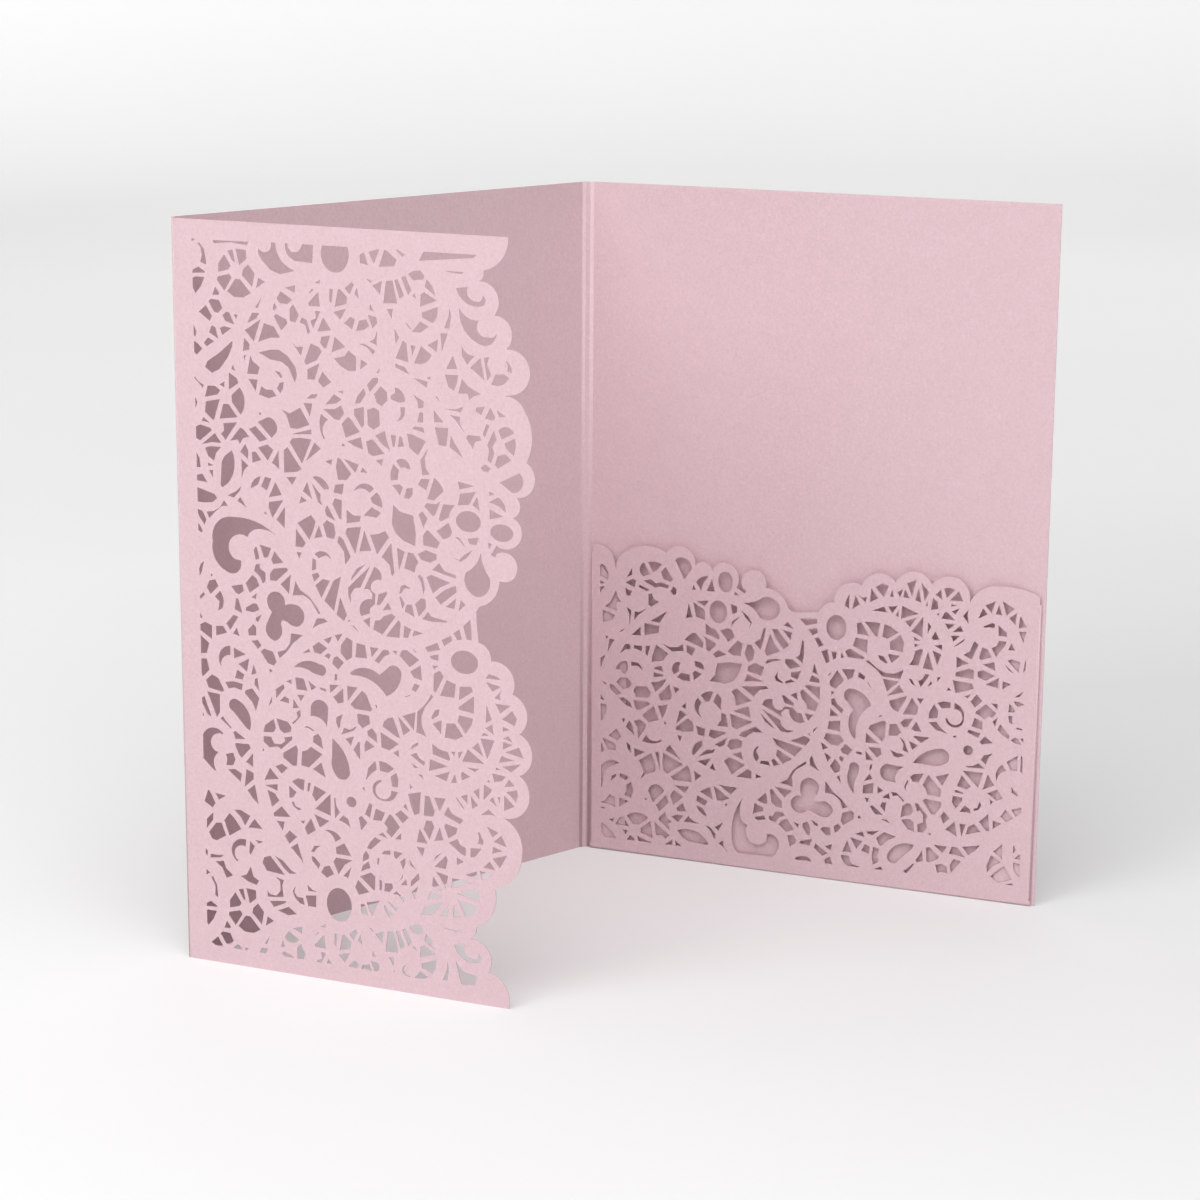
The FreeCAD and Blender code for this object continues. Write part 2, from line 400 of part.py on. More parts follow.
# centre: small wheels, a swirl and bars
HEART_OF_THE_FLAP = """
37.2 106.8 ( 39.6 107.7 41.7 106 ) 40.2 106.8 38.3 105.9
36.7 105.8 37.6 105.4 37.6 103.2 36.4 102.7
36.4 101.8 37.9 102.4 38.6 101.6 37 100
39.4 101 41.3 100.7 38.9 96.3 37.3 99.2
44.3 102.1 42.3 93.3 39.7 95.6 42.3 100.9
44 97 45.8 92.8 44.9 91.1 43 92.5
46.6 91.8 46.5 91.1 45.9 91.3
46.8 90.4 47.7 90.3 48.9 88.9
50.9 105.7 47 101.4 47.2 102.4 48.6 104.4
52.1 105.3 49.5 99.8 47.9 99.5 46.9 98 46.9 95.8 46.2 97.5 46.2 99.6
53.2 105.2 ( 54.9 104 55 102.1 ) ( 52.7 101.4 52.4 99.4 ) 53.5 98.7 53.3 96.2
  52 95 51.9 93.7 49.6 92.9 ( 49.6 95.9 52.6 97.3 ) 52.7 98.6 51.5 99.7 50.4 99.5
56.6 99.6 56.4 98.6 54.6 96 53.8 96.1 54.3 98.7
56.8 97 57.7 95.3 55.4 94.9
57.7 94.3 58.8 93.7 55.2 88.9 52.8 89.9 53.3 92.2 54.6 92.4 55.8 93.6
52.1 92.9 51.8 90.3 50.1 91.9
59.6 93 60.1 92.2 59.8 88.6 56.1 88.6
61.1 91.8 62.9 91 62 88.8 60.8 88.8
63.7 90.9 66.2 90.4 63.2 89.3
59.8 99.4 60.3 101.4 61.4 101.7 62.9 100.9 61.2 100.8 60.2 99.4
59.8 98.7 60.4 98.6 61.2 97.1 60.6 95.8
61.8 97 63.2 97 63.8 94.1 61.2 95.2
65.2 104.5 66.1 103.8 66.6 101.2 66.2 99.8 65.7 102.4 64.8 104.1
65.6 98.9 66.7 98.7 66.8 96.6 65 94.3 64 97.3
67.4 95.8 68.2 94.7 72.6 94 72 93.6 68.4 93.4 65.9 93.8
"""

# rings round the narrow neck of the free edge
NARROW_NECK = """
78.4 95 78.7 93 78.8 90 77.5 90 76.6 93.2
75.6 92.4 76.3 90 75 89.7 74 91.2
73.4 90.6 73.7 89.4 71.6 87.9 70.9 89.3
69.8 88.5 70.6 86.8 67.2 86 66.6 87.1
67.7 85.1 70.1 85.7 70 84.1 68.3 84.3
68.4 82.9 70.1 82.9 68.8 81.9
70.4 81.8 71.4 80.5 69.3 76.2 68.7 76.6 68.8 80.9
72.2 79.7 74.6 78.9 74.2 75.5 70.4 75.6
75.6 78.5 78.6 78.8 79.1 77.6 75.4 75.1
83.3 82.4 85.2 82 86.6 81.2 82.4 81.2
82.5 80.3 86.4 79.6 84.1 78.2
86.6 78.8 86 77.5 86.3 76.3 84.7 76.7
60.4 85.7 61.7 85.9 65 83.8 62.4 81.7 59.7 84.2
65.4 82.6 65.7 78.8 63.4 79.3 62.6 80.7
63.6 77.9 65.1 77.6 64 75.8 62.9 76.2
37.6 91.1 39.5 91.3 40.6 90.6 38 89.6 36.4 88.5
39.3 86.1 41.6 87.1 41.3 86 40.6 85.1
42.4 87.5 44.6 88.1 43.2 85.9
38.1 85.4 40.3 84 38.4 82.3 36.8 82.6 36.3 84.1
35.3 83.4 35.8 82.6 33.5 82.1
40.5 82.9 41.3 82.5 40.7 81.3 39.5 82
45.6 87.3 47.2 86.6 47 82.5 45.5 81.5 43.9 83.2 44.1 85.3
48.3 86.2 50.5 85.9 51.1 82.6 47.9 82.6
51.9 85.6 54.2 85.5 52.3 83.1
55.4 85.3 56.8 85.3 57.2 84.4 55.6 83.6 54.2 81.7 53 82.3
57.9 85.3 59.2 85.4 58.8 84.3
43 82.4 44.8 81 43.2 79 41.6 80.3 42 81.9
42.4 78 43 77.8 42.9 76.3 42.1 76.3
31.1 78.4 ( 34.5 80.3 38.2 79.8 ) ( 39.9 78.5 38.2 77 ) ( 36.4 77.4 35 78.1 ) 33 78.5
"""

# loops and a wheel, lower left
LOOPS = """
5.3 77.8 6.9 77.9 7.6 75.2 5.6 73.2 5.3 74
8.3 74.1 10.1 73.3 11.6 70.4 11 69.9 7.2 70.6 6.5 72.5
6.8 69.6 10.4 69.3 10.3 64.8 9.4 63.3
6 68.4 7.9 63.4 6.9 63.6 5.3 66.4 5.3 67.9
5.4 64.3 5.8 63.5 5.4 63
11.9 72.6 14.3 73 16.9 72.6 16.5 70.9 14.4 71.4 12.8 71
15.4 76 17.4 75 16.8 73.6 14.7 73.8
17.6 71.1 19.5 71.8 21.4 69.5 20.4 66.1 19.4 68.2 17.4 70.2
21 74.6 20.3 74.2 20.1 72.8 21.5 71.1
18.6 61 ( 18.6 65 14.9 68.6 ) ( 13 67.6 14 65.3 ) 17.6 61.5
11.1 63.9 11.7 63 13.5 61.2 13.2 60.9 10.4 63.1
14.5 60.5 17.4 58.7 14.5 58.4 13.9 60
5.3 58.4 ( 7.3 60.4 11.1 59.5 ) 11 59.1 ( 7.8 57.9 8.7 54.8 )
  9.7 54.5 ( 8.3 52.2 9.1 49.6 ) 8.1 49.8 5.3 52.3
11.7 54.3 13.8 54.9 14.4 53.2 13.7 51.6 11.8 51.4 12 53.2
14.4 57.4 18.3 57.6 18.7 56.6 16.1 53.8 15.5 54.3 14.4 56.6
19.4 55.5 19.3 51.8 17.3 52.9
17.4 51.1 19.4 50.4 19.4 48.8 16.8 46.5
12.1 50.4 14.2 50.8 16.1 49.8 15.7 47.6
19.7 47.5 20.7 42.5 19.2 43.6 17.6 45.7
24.9 70.5 24.9 68.9 24 68
28.1 73.8 28.5 72.9 26.1 70 26 72.3
28.4 70.8 29.6 70.4 29.7 69.1 27 69.5
28.9 74.6 30.4 75.3 30.4 74
31.4 75.9 33.8 75.8 34.8 72.8 31.8 72.9
25.3 64.8 25.9 62.5 25.1 61.3 22.4 61.1 22.8 62.9
26 65 29.2 64.5 30.2 63.2 30 62.1 28.1 61.4 27 62.1
22.4 60.1 24.5 60.2 25.3 58.6 27.2 58.6 28.4 59.6 28.1 60.4
  30.3 61 30.4 60.2 27.2 57.3 26.1 57.9 24 57.4 22.4 58.6
22.2 57.1 22.6 56.5 22 56.2
31.4 58.9 31.9 58 31.5 53.7 30.4 53.5 27.8 55.2 27.8 56.5
27.5 53.7 29 52.8 27.2 51.1 25.5 52.9
24 52.3 26.5 49.7 22.4 49
22.5 47.7 26.1 48.4 26 46.6
23.2 46.6 25.4 45.9 26.5 44.2 24.4 42.4
27.1 42.9 29.6 40.4 25 40 24.8 40.9
29.3 48.4 31.3 47 30.3 45.5 29.3 45.3
30 49.5 31.7 50.6 33.6 50.4 33.3 47.6 32.3 47.8
29.9 44.4 30.6 44.5 30.9 43.5 32.8 42.8 31.6 42.4 30.4 43.2
32.1 39.8 33.6 40.1 33.1 39.1
6.4 44.5 7 44.2 8.5 41.4 7.6 40 5.3 41.4
8.4 44 11.5 43.6 9.4 42.3
"""

# drop, open swirl and boot, lower middle
DROP_AND_SWIRL = """
30.9 70.4 32.4 68.4 30.7 68
32.7 67.9 32.8 66.3 30.8 64.1 30.3 64.3 32 65.9 31.6 67.2
31.9 71.6 33.9 71.7 32.9 70
35 75.5 37.2 74 35.8 73.1
38.1 74.1 39.7 73.9 39.9 73.2 38.4 73.5
40.8 75.1 43.4 75.3 41 73
44.5 74.6 44.6 71.1 43 70.6 41.8 72.1
45.6 75.3 48.4 75.2 45.7 71.5
49.6 74.6 50.7 73.9 52.3 70.2 51.8 69.6 47.5 69.8 46.4 70.8
46.3 78.5 ( 50.1 80.3 54.3 79 ) 56.5 80.8 ( 59.3 81.4 60.2 79.3 )
  ( 59.1 76.3 56.1 73.9 ) ( 52.6 77 47 78.1 )
35.5 66.6 35.6 68.9 ( 37.8 71 40.4 69.1 ) 40 64.3 ( 38.3 66.2 35.5 66.6 )
44.4 68.2 43.7 66.5 43.6 64.9 43.1 64.3 42.4 66 42.6 67.2
48.2 68.8 51.4 68.6 51.7 66.6 49.5 65.2 48.4 66.4
48.2 65.7 47.3 64.4 43.9 63 44.6 64.8 46.3 64.5
47.3 63 46.4 60.4 44.9 62.1
48.5 61.8 48.9 61.6 48.9 57.3 48.3 57.9 47.1 59.6
52.1 65.6 53.4 64.3 53.6 62 51.1 63.5 50.9 64.7
50.7 62.4 52.9 61.1 50.2 59.5 50.1 61.4
54.5 64.9 59.4 62.5 56.8 60.6 54.7 61
57.9 68.9 59.8 63.9 58.6 64.2 55 66.3 55.5 67.7 56.6 68.6
59.2 69.4 62.5 66.2 60.6 64.8
60.4 69.6 63.9 70.9 63.4 66.2
64.6 63.6 64.4 62.7 62.5 61.6 63.2 62.8
62.4 60.2 64.1 60.9 64.8 59.7 66.3 58.9 66.1 57.8 64.3 58.9
62.8 58.2 64.5 57.3 63.6 57
64.4 55.6 65.5 55.6 65.9 54.5
59.3 61.1 59.4 59.2 57.8 60.1
41.4 61.8 ( 45.3 57.2 46.1 53.7 ) ( 44.4 51.7 42 52.8 ) ( 41.2 54.6 41.2 57 )
37.5 62.5 38.4 61.4 38.8 58.7 36.1 60.1 36.2 61.8
33.5 63.6 34.6 64.1 36.6 63.2 36.1 62.9 34.8 63.6
33 57.5 34.5 58 35.5 59 38.6 57.4 34.8 53.6 32.7 53.9
38.3 55.4 39.5 51.5 35.9 53.4
34.5 49.8 35.3 49.8 34.8 47.6 34.3 47.5
36.3 49.3 39.5 48 36.6 45.3 35.6 46.8
40.7 47.8 40.7 42.1 36.4 43.4
42 47 42.3 44.9 43.2 43.4 41.8 41.6 41.7 46.8
44.1 42.8 45.5 42 46.1 39.6 45.2 40.5 42.9 41.4
36.1 42.1 40.3 40.8 37.6 38.8
49.1 43.3 50.7 41.8 49 39.6 48.3 42.7
51.3 46.8 52.1 46.4 51.4 43 50 43.8
53 45.6 55.5 44.9 54.6 42.6 52.2 42.6
56.7 44.7 57.4 44.4 59.5 41.8 57.2 38.8 55.8 40 56.2 41.1 55.2 42.1
59.8 46.1 61.9 44.5 60.2 42.8 58.2 44.9
61.1 47.9 61.9 46 60.5 47
54.8 39.9 56.3 38.4 53.6 39.1
59.8 40.4 59.8 38.6 58.2 38.6
49.9 50.8 50.1 49.6 49.4 50.2
53 57.6 53.4 55.4 51.9 54.3 50.4 52.4 51.1 55.6
54 57.7 55.9 57.5 58.1 56.2 56.3 54.9 54.3 55.2
58.6 55.3 59.2 53.6 59 51.6 57.5 51.6 57.1 54.1
54.6 53 ( 52.2 50.3 55 47.8 ) ( 57.6 48.4 59 50.5 ) 57.2 50.6 ( 53.3 49.2 54.6 52.4 )
62.2 52.9 63.1 52.3 62.3 51.6
61.7 50.4 65.2 51.3 64.8 45.9 63.4 45.3 62.7 46.9
"""

# ladders along the free edge, lower right
EDGE_LADDERS = """
66.3 50.6 67.5 50.5 68.9 46.8 68.4 45.5 65.9 45.5
68.7 50.4 71.8 50.5 70.2 47
72.4 48.6 73.5 46.9 76.5 45.8 75.5 44.5 71.3 46.3
71.8 44.3 74.9 43.5 74.5 42 72.4 40.7 71.4 43.6
66.6 44.4 68.1 44.5 68.7 43 67.4 39.6 65.8 42.1
70.2 43.2 71.2 40 68.7 39.5
64.8 42.2 67 38.6 64 38.6
80.7 43.4 81.8 41.1 81.6 40.2 80.3 40.4 80.6 41.8 80.3 43.1
82.7 45 85.7 43.8 84.1 42.4
86.5 43.2 87.9 40.4 84.4 41.4
84.3 40.2 86.9 39.4 84.1 38.4
83.1 49.3 85 47.8 83.6 48 81.1 47.6
74.5 51.4 77 48.4 76.3 48.6 74.9 50.4
77.5 52.3 77.6 49.8 75.8 51.6
78.4 52 80.4 49.9 78.8 48.9
80.7 54.2 80.7 51.3 79.1 53.2
81.9 55.3 83.9 54.3 83.8 53.6 81.8 51.4
83.1 56.6 83.6 55.9 82.7 56
76.3 57.7 78.3 56.7 76.1 55.5 75.8 57.1
74.3 56.9 74.8 54.7 73.2 54.6
72.9 57.3 72 54.7 68.9 55.8
67.7 59.8 72.5 58.5 67.4 56.8
68.3 63.6 70.2 62.5 72.4 62.1 73.1 60.4 72.7 59.9 68.4 61
73.4 62.3 74.4 62.4 74.1 61.1
75.2 62.4 76.4 62.7 75.3 60.7
77.7 63.4 82.1 60.3 76.2 60.2
77.4 58.9 80.6 58.9 79.5 57.9
80.4 65.4 81.8 62 78.8 63.9
81 66.5 84.7 66.4 82.8 61.6
84.1 70.3 84.5 67.6 82.3 69.1
81.8 68 83.3 67.4 81.4 67.1
82.6 74.7 84 71.4 82.4 70.4
84.9 75.4 88.9 75.3 86.2 73.1
89.3 74.1 90.5 72.3 89.9 70.4 86.6 71.7
86.9 70 88.8 69.4 86.9 68.8
88.3 67.9 89.4 66.4 86.9 67.1
87 66.3 89.4 65.8 86.9 64.4
91.1 65.4 92.3 62.8 87.4 63.8
86.5 62.8 90 62 85.9 61.1
91.6 61.4 89 59 86.6 60.2
85.2 59.8 86.4 59.4 85.1 59.2
84.1 58.3 87.6 57.9 86.6 56.6 84.6 56.2
88.5 57.3 90 55.8 87.2 55.3
90.5 54.9 90.8 53.6 90.3 51.8 87.8 54.1
87.2 53.2 90 50.8 87.2 49.4
85.5 52.7 86.2 52.7 86 51
84.2 52.5 85.3 50.2 83.4 51.5
79.3 76.6 79.4 74.5 79.3 72.2 75.4 72.8 75.4 73.5
75.5 71.5 79.1 71 78.6 69.3 77.1 67 75 70
72.1 69.1 74.3 69.3 76.5 66.4 74.5 65.3 71.6 65.5
70.4 69.6 70.9 69.5 70.6 66.2 68.4 68.6
70.3 72.4 70 70.8 68.3 69.6 68.1 70.2 69.1 72
68.1 75.8 68.7 75.2 66.5 72.5 65.5 70 65.5 67.8 66.8 65.1 64.1 65.9 64.4 71.1 65.8 72.4 67.3 74.3
"""

# the band above the bottom, where the lace starts again
LOWER_BAND = """
7.8 38.9 7.7 36.9 5.8 34.5 5.9 37
8.5 36.3 10.1 36.5 11.3 33.3 8.5 31.7 7.2 32 6.4 33.6
12.4 39.3 13.7 38.2 15.7 35.6 12.2 33.4 10.8 37.2
13.6 40.3 15.4 40.5 18.3 39.3 16.7 36.5 15.5 38.6
19.4 38.7 21.7 36.3 17.6 36.2
19.5 33.3 21.8 33.1 20.4 32.4
18.1 32.8 19.4 31.6 18.1 29.1 17.7 29.9
17 33 16.7 31.1 ( 13.9 30.3 14.7 27.4 ) 14.2 27.1 ( 13.2 31.4 17 33 )
5.4 29.4 6 28.6 5.8 27.3 5.3 28
6.8 28 9 28 10.7 28.3 9.5 27.4 6.7 27
8 26.2 10.5 26.7 11.1 24.9 13.1 23.3 11.1 22.3 10 24.8
5.5 23.9 6.5 23.1 5.4 22.4
7.3 22.3 8.4 20.2 8.7 16.8 7.8 17.4 7.9 19.9 6.8 22
18.1 26.3 18.9 23.7 20.4 22.9 19.6 21.6 17.2 22.2 15.1 23.4 16.9 24
23.7 29.8 27.8 25.3 22.6 25.7 21.4 27.7 22 29.2
24.9 30 27.2 29 29.5 26.8 31 26.2 29 25.8 27.5 26.9
22.7 20.8 23.4 19.9 25.2 19.7 26.4 21.2 26.3 23.4
  25 24.6 27.4 24 26.9 22.6 27.2 19.6 24.5 19.2 22.8 19.1
23.3 18.1 27.9 18.7 27.8 18.2 24.4 16.6
25.5 15.9 28.6 17.3 30.9 15.7 28.3 15
30.6 23 30.3 21.3 31.1 20.2 32.7 20.2 33.1 18.3 31.7 18.6 30.4 19.8 29.8 21.5
33.9 23.8 35.2 22.7 36.7 22.3 34.2 22.1
33.4 20.9 36.4 21.3 36.3 18.2 34.1 18.2
48 26.9 51.1 24.2 48.1 23.1 47.1 25
48.4 27.9 51.5 29.3 52.7 28.4 52.6 24.9 52 24.9
53.8 27.8 54.6 27.6 54.4 25.1 53.8 25.1
55.3 27.1 57.3 27.3 57.5 26.1 56.4 24.9 55.1 25
50.2 21.5 53.8 22.4 51.7 18.1
55 21.6 57.3 19.5 56.4 18.5 55.1 20.4
55.8 22.6 58.7 21.3 58.2 20.4
57.4 24.6 58.4 25.5 60.6 23.8 60.4 23 58.8 24.6
31.4 34 33 29 32.2 29.9 29.5 32.7
29.2 37 31.3 35.6 29 33.5 27.8 35.4
25.6 39 27.9 39.1 27.3 36.6
35.2 40.9 36.5 38 34.2 36.5 33.4 38.2
38.8 38.3 ( 41.3 38.4 43.4 36.8 ) 41.8 35.7 ( 40.8 37.4 38.8 38.3 )
44.3 35.7 46.3 32.6 42.1 32.7 42 34.4
42 31.8 46.5 31.7 44.3 30.2 42.6 27.5 41.2 30.6
46.2 30 45.3 27 43.9 27.3
37.8 34.2 36.7 33.5 36 32.4 35.1 32.3 36 34
35.2 31.3 36.1 31.1 37.6 29.5 37.1 28.1 35.4 30
38.6 29 40.2 29.5 41.4 27.5 39.3 26.2 37.8 27.4
52.7 38.4 54.4 37.7 51.4 35 50.5 35.3 51.4 37
50.2 34.7 51.1 33.6 50.9 32.7 49.3 31.7 49.4 33.4
50.9 32 51.4 30.4 48.8 29.2 49.3 30.8
55 35.2 56.8 35.6 56.9 34.4 54.5 34.3
57.8 35.6 60.2 35.3 58.4 33.6 57.8 34.1
60.9 34.3 60.9 32.6 60.2 31.2 59.5 33.1
62 34 63.8 31.6 62.2 32.5
60.2 30.1 60.1 29 58 27.2 59.6 28.7
61.1 28.9 61.3 27.3 59.6 27.2
64.4 30.9 64.7 29.4 62.3 27.1 62.3 28.5
64.3 27.6 63.4 24.2 62.5 25.8
53.4 33.2 53.9 33.2 53.6 31.5 53.2 31.6
63.9 37.5 66.1 37.4 65.5 35.1
70.8 37 68.4 34.3 69.1 35.8
71.8 36.3 72.3 35.2 71.7 32.8 68.7 33.1
69.1 31.9 72.4 31.3 71.7 28.1 70 30.8
68.4 30.6 70.8 27.3 68 28.1
67.6 26.8 70.8 25.9 66.8 24.5
71.2 24.6 68.1 20.9 64.9 20.4 66.1 22.8
72.4 23.9 72.3 21.1 70.1 20.9
73.9 24.5 75.6 21.4 73.6 21.2
74.8 25.8 80.3 24.6 79.3 22.8 77 21.4
74.5 27.2 80.2 29.1 80.9 25.9
73.5 30.9 79.3 30.5 73.1 28.3
74.7 36.3 76.6 35.4 74.7 34.3
72.5 39.6 74.9 40.9 75.6 39.5 77.1 38.9 77 36.8 75.9 37.1
78.4 39.1 81.3 39.3 79.5 36.9 78.3 36.7
88 38.5 86.1 35 84.1 37.2
83.4 36.4 85 34.3 81.7 34.6
80.8 33.7 84.3 33.3 81.3 31.4
80 33.5 80 31.4 77 32.2
74.3 9.9 76.4 7.7 79.9 7.1 79.5 4.6 75.8 4.3
48.6 20.8 49.6 21 50.8 18.3 48.9 18.6
"""

LACE = (CORNER_WHEEL, TOP_MIDDLE, TOP_CURLS, LEAVES, TWIN_HUBS, OVAL_RINGS,
        HORSESHOE_AND_TREFOIL, HEART_OF_THE_FLAP, NARROW_NECK, LOOPS, DROP_AND_SWIRL,
        EDGE_LADDERS, LOWER_BAND)

# Oval holes: centre along, centre up, half width, half height.
OVALS = ((43.7, 178.7, 3.7, 4.3), (78.0, 118.35, 3.2, 2.55), (86.6, 116.4, 2.95, 2.1),
         (76.9, 84.5, 3.55, 2.85), (46.4, 46.4, 1.35, 1.35), (42.7, 19.8, 3.45, 4.3))

Vec = FreeCAD.Vector


# --- drawing the lace -----------------------------------------------------
def round_stretch(a, m, b):
    """Chord ends on the circle from a through m to b, a left out."""
    bx, by, cx, cy = m[0] - a[0], m[1] - a[1], b[0] - a[0], b[1] - a[1]
    d = 2.0 * (bx * cy - by * cx)
    if abs(d) < 1e-6:
        return [b]
    ux = (cy * (bx * bx + by * by) - by * (cx * cx + cy * cy)) / d
    uy = (bx * (cx * cx + cy * cy) - cx * (bx * bx + by * by)) / d
    centre, radius = (a[0] + ux, a[1] + uy), math.hypot(ux, uy)
    start = math.atan2(-uy, -ux)
    sweep = math.atan2(b[1] - centre[1], b[0] - centre[0]) - start
    if d > 0:
        sweep = sweep % (2.0 * math.pi)
    else:
        sweep = sweep % (2.0 * math.pi) - 2.0 * math.pi
    count = max(2, round(abs(math.degrees(sweep)) / CHORD))
    return [(centre[0] + radius * math.cos(start + sweep * i / count),
             centre[1] + radius * math.sin(start + sweep * i / count))
            for i in range(1, count)] + [b]


def outline(text):
    """The corners of one outline, its round stretches divided into chords."""
    points, words = [], text.split()
    while words:
        if words[0] == "(":
            m = (float(words[1]), float(words[2]))
            b = (float(words[3]), float(words[4]))
            points += round_stretch(points[-1], m, b)
            words = words[6:]
        else:
            points.append((float(words[0]), float(words[1])))
            words = words[2:]
    if math.dist(points[0], points[-1]) < 1e-6:
        points.pop()
    return points


def outlines(block):
    """One outline a line; a line that starts with spaces goes on with the last."""
    return [outline(line) for line in block.strip().replace("\n  ", " ").splitlines()]


def oval(x, y, rx, ry):
    count = round(360.0 / CHORD)
    turns = [2.0 * math.pi * i / count for i in range(count)]
    return [(x + rx * math.cos(t), y + ry * math.sin(t)) for t in turns]


def cut(points, axis, limit, keep_above):
    """The part of an outline on one side of a straight line."""
    side = 1.0 if keep_above else -1.0
    kept = []
    for i, b in enumerate(points):
        a = points[i - 1]
        da, db = side * (a[axis] - limit), side * (b[axis] - limit)
        if (da < 0.0) != (db < 0.0):
            t = da / (da - db)
            kept.append((a[0] + t * (b[0] - a[0]), a[1] + t * (b[1] - a[1])))
        if db >= 0.0:
            kept.append(b)
    return kept


def area(points):
    return 0.5 * sum(points[i - 1][0] * p[1] - p[0] * points[i - 1][1]
                     for i, p in enumerate(points))


def inside(points, low_x, low_y, high_x, high_y):
    """An outline clipped to a frame, or None where too little is left."""
    for axis, limit, above in ((0, low_x, True), (1, low_y, True),
                               (0, high_x, False), (1, high_y, False)):
        points = cut(points, axis, limit, above)
        if len(points) < 3:
            return None
    return points if abs(area(points)) > SMALLEST_HOLE else None


def lace_holes():
    """Every cut-out of the lace at the drawn size, the top band again at the foot."""
    band = outlines(TOP_BAND)
    again = [[(x - REPEAT_SHIFT - REPEAT_CLOSE * x / DRAWN[0],
               y - REPEAT - REPEAT_TILT * x / DRAWN[0]) for x, y in points] for points in band]
    rest = [points for block in LACE for points in outlines(block)]
    return band + again + rest + [oval(*o) for o in OVALS]


def stretched(points, frame_x=1.0, frame_y=1.0):
    return [(p[0] * frame_x, p[1] * frame_y) for p in points]


def flat_face(outer, holes):
    """One plane face from an outline and its cut-outs."""
    def wire(points):
        corners = [Vec(x, y, 0.0) for x, y in points]
        return Part.makePolygon(corners + corners[:1])
    face = Part.Face([wire(outer)] + [wire(h) for h in holes])
    face.validate()
    return face


# --- walking along the card -----------------------------------------------
class Walk:
    """Lays solids along the inside face of the card. Its frame's x goes forward
    along the card, y along the crease, and z through the card to the outside."""

    def __init__(self, frame):
        self.frame = frame
        self.solids = []

    def step(self, x=0.0, y=0.0, z=0.0):
        self.frame = self.frame.multiply(FreeCAD.Placement(Vec(x, y, z), FreeCAD.Rotation()))

    def turn_in_plane(self, degrees):
        turn = FreeCAD.Rotation(Vec(0, 0, 1), degrees)
        self.frame = self.frame.multiply(FreeCAD.Placement(Vec(), turn))

    def branch(self):
        return Walk(FreeCAD.Placement(self.frame))

    def lay(self, face, low=0.0, thick=CARD):
        solid = face.extrude(Vec(0, 0, thick))
        solid.translate(Vec(0, 0, low))
        solid.Placement = self.frame.multiply(solid.Placement)
        self.solids.append(solid)
        return solid

    def flat(self, length, width, face=None):
        if face is None:
            face = Part.makePlane(length, width)
        self.lay(face)
        self.step(length)

    def bend(self, width, radius, degrees):
        """Folds the card towards its inside face."""
        edge = Part.makePolygon([Vec(0, 0, 0), Vec(0, width, 0), Vec(0, width, CARD),
                                 Vec(0, 0, CARD), Vec(0, 0, 0)])
        solid = Part.Face(edge).revolve(Vec(0, 0, -radius), Vec(0, 1, 0), degrees)
        solid.Placement = self.frame.multiply(solid.Placement)
        self.solids.append(solid)
        self.step(z=-radius)
        turn = FreeCAD.Rotation(Vec(0, 1, 0), degrees)
        self.frame = self.frame.multiply(FreeCAD.Placement(Vec(), turn))
        self.step(z=radius)


def crease_allowance(degrees):
    """From the corner where two panels would meet to where the bend starts."""
    return (BEND + 0.5 * CARD) * math.tan(math.radians(degrees) / 2.0)


RIGHT_CUT = crease_allowance(RIGHT_CREASE)
LEFT_CUT = crease_allowance(LEFT_CREASE)
POCKET_BEND = TAB_BEND + 0.5 * (CARD + GLUE)
POCKET_FOLD = POCKET_BEND + CARD          # how far the bottom fold reaches down
POCKET_WIDTH = POCKET_PANEL - POCKET_START - POCKET_END
TAB_FOLD = TAB_BEND + CARD


def pocket_panel_face():
    """The pocket's back, with its bottom edge lifted where the fold is."""
    low, high = POCKET_START - RELIEF, POCKET_START + POCKET_WIDTH + RELIEF
    end = POCKET_PANEL - RIGHT_CUT
    return flat_face([(0, 0), (low, 0), (low, POCKET_FOLD), (high, POCKET_FOLD),
                      (high, 0), (end, 0), (end, HEIGHT), (0, HEIGHT)], [])


def flap_face():
    """The lace flap, from its crease to the scalloped free edge."""
    sx, sy = FLAP / DRAWN[0], HEIGHT / DRAWN[1]
    edge = [(x - LEFT_CUT, y) for x, y in stretched(outline(EDGE), sx, sy)]
    holes = []
    for points in lace_holes():
        points = inside(stretched(points, sx, sy), BORDER_FOLD, BORDER_BOTTOM,
                        2.0 * FLAP, HEIGHT - BORDER_TOP)
        if points:
            holes.append([(x - LEFT_CUT, y) for x, y in points])
    return flat_face([(0, HEIGHT), (0, 0)] + edge, holes)


def on_pocket(x, y):
    """A point of the drawing on the pocket front: up from the fold, and along."""
    across, along = x - LACE_MIDDLE[0], y - LACE_MIDDLE[1]
    fade = max(0.0, math.cos(0.5 * math.pi * (along - CLOSE_AT) / CLOSE_REACH))
    close = LACE_CLOSE * max(across, 0.0) ** 2 * fade
    return (POCKET_MIDDLE[0] + across - LACE_LEAN * along - close,
            POCKET_MIDDLE[1] + LACE_NARROW * along + LACE_LEAN * across - close)


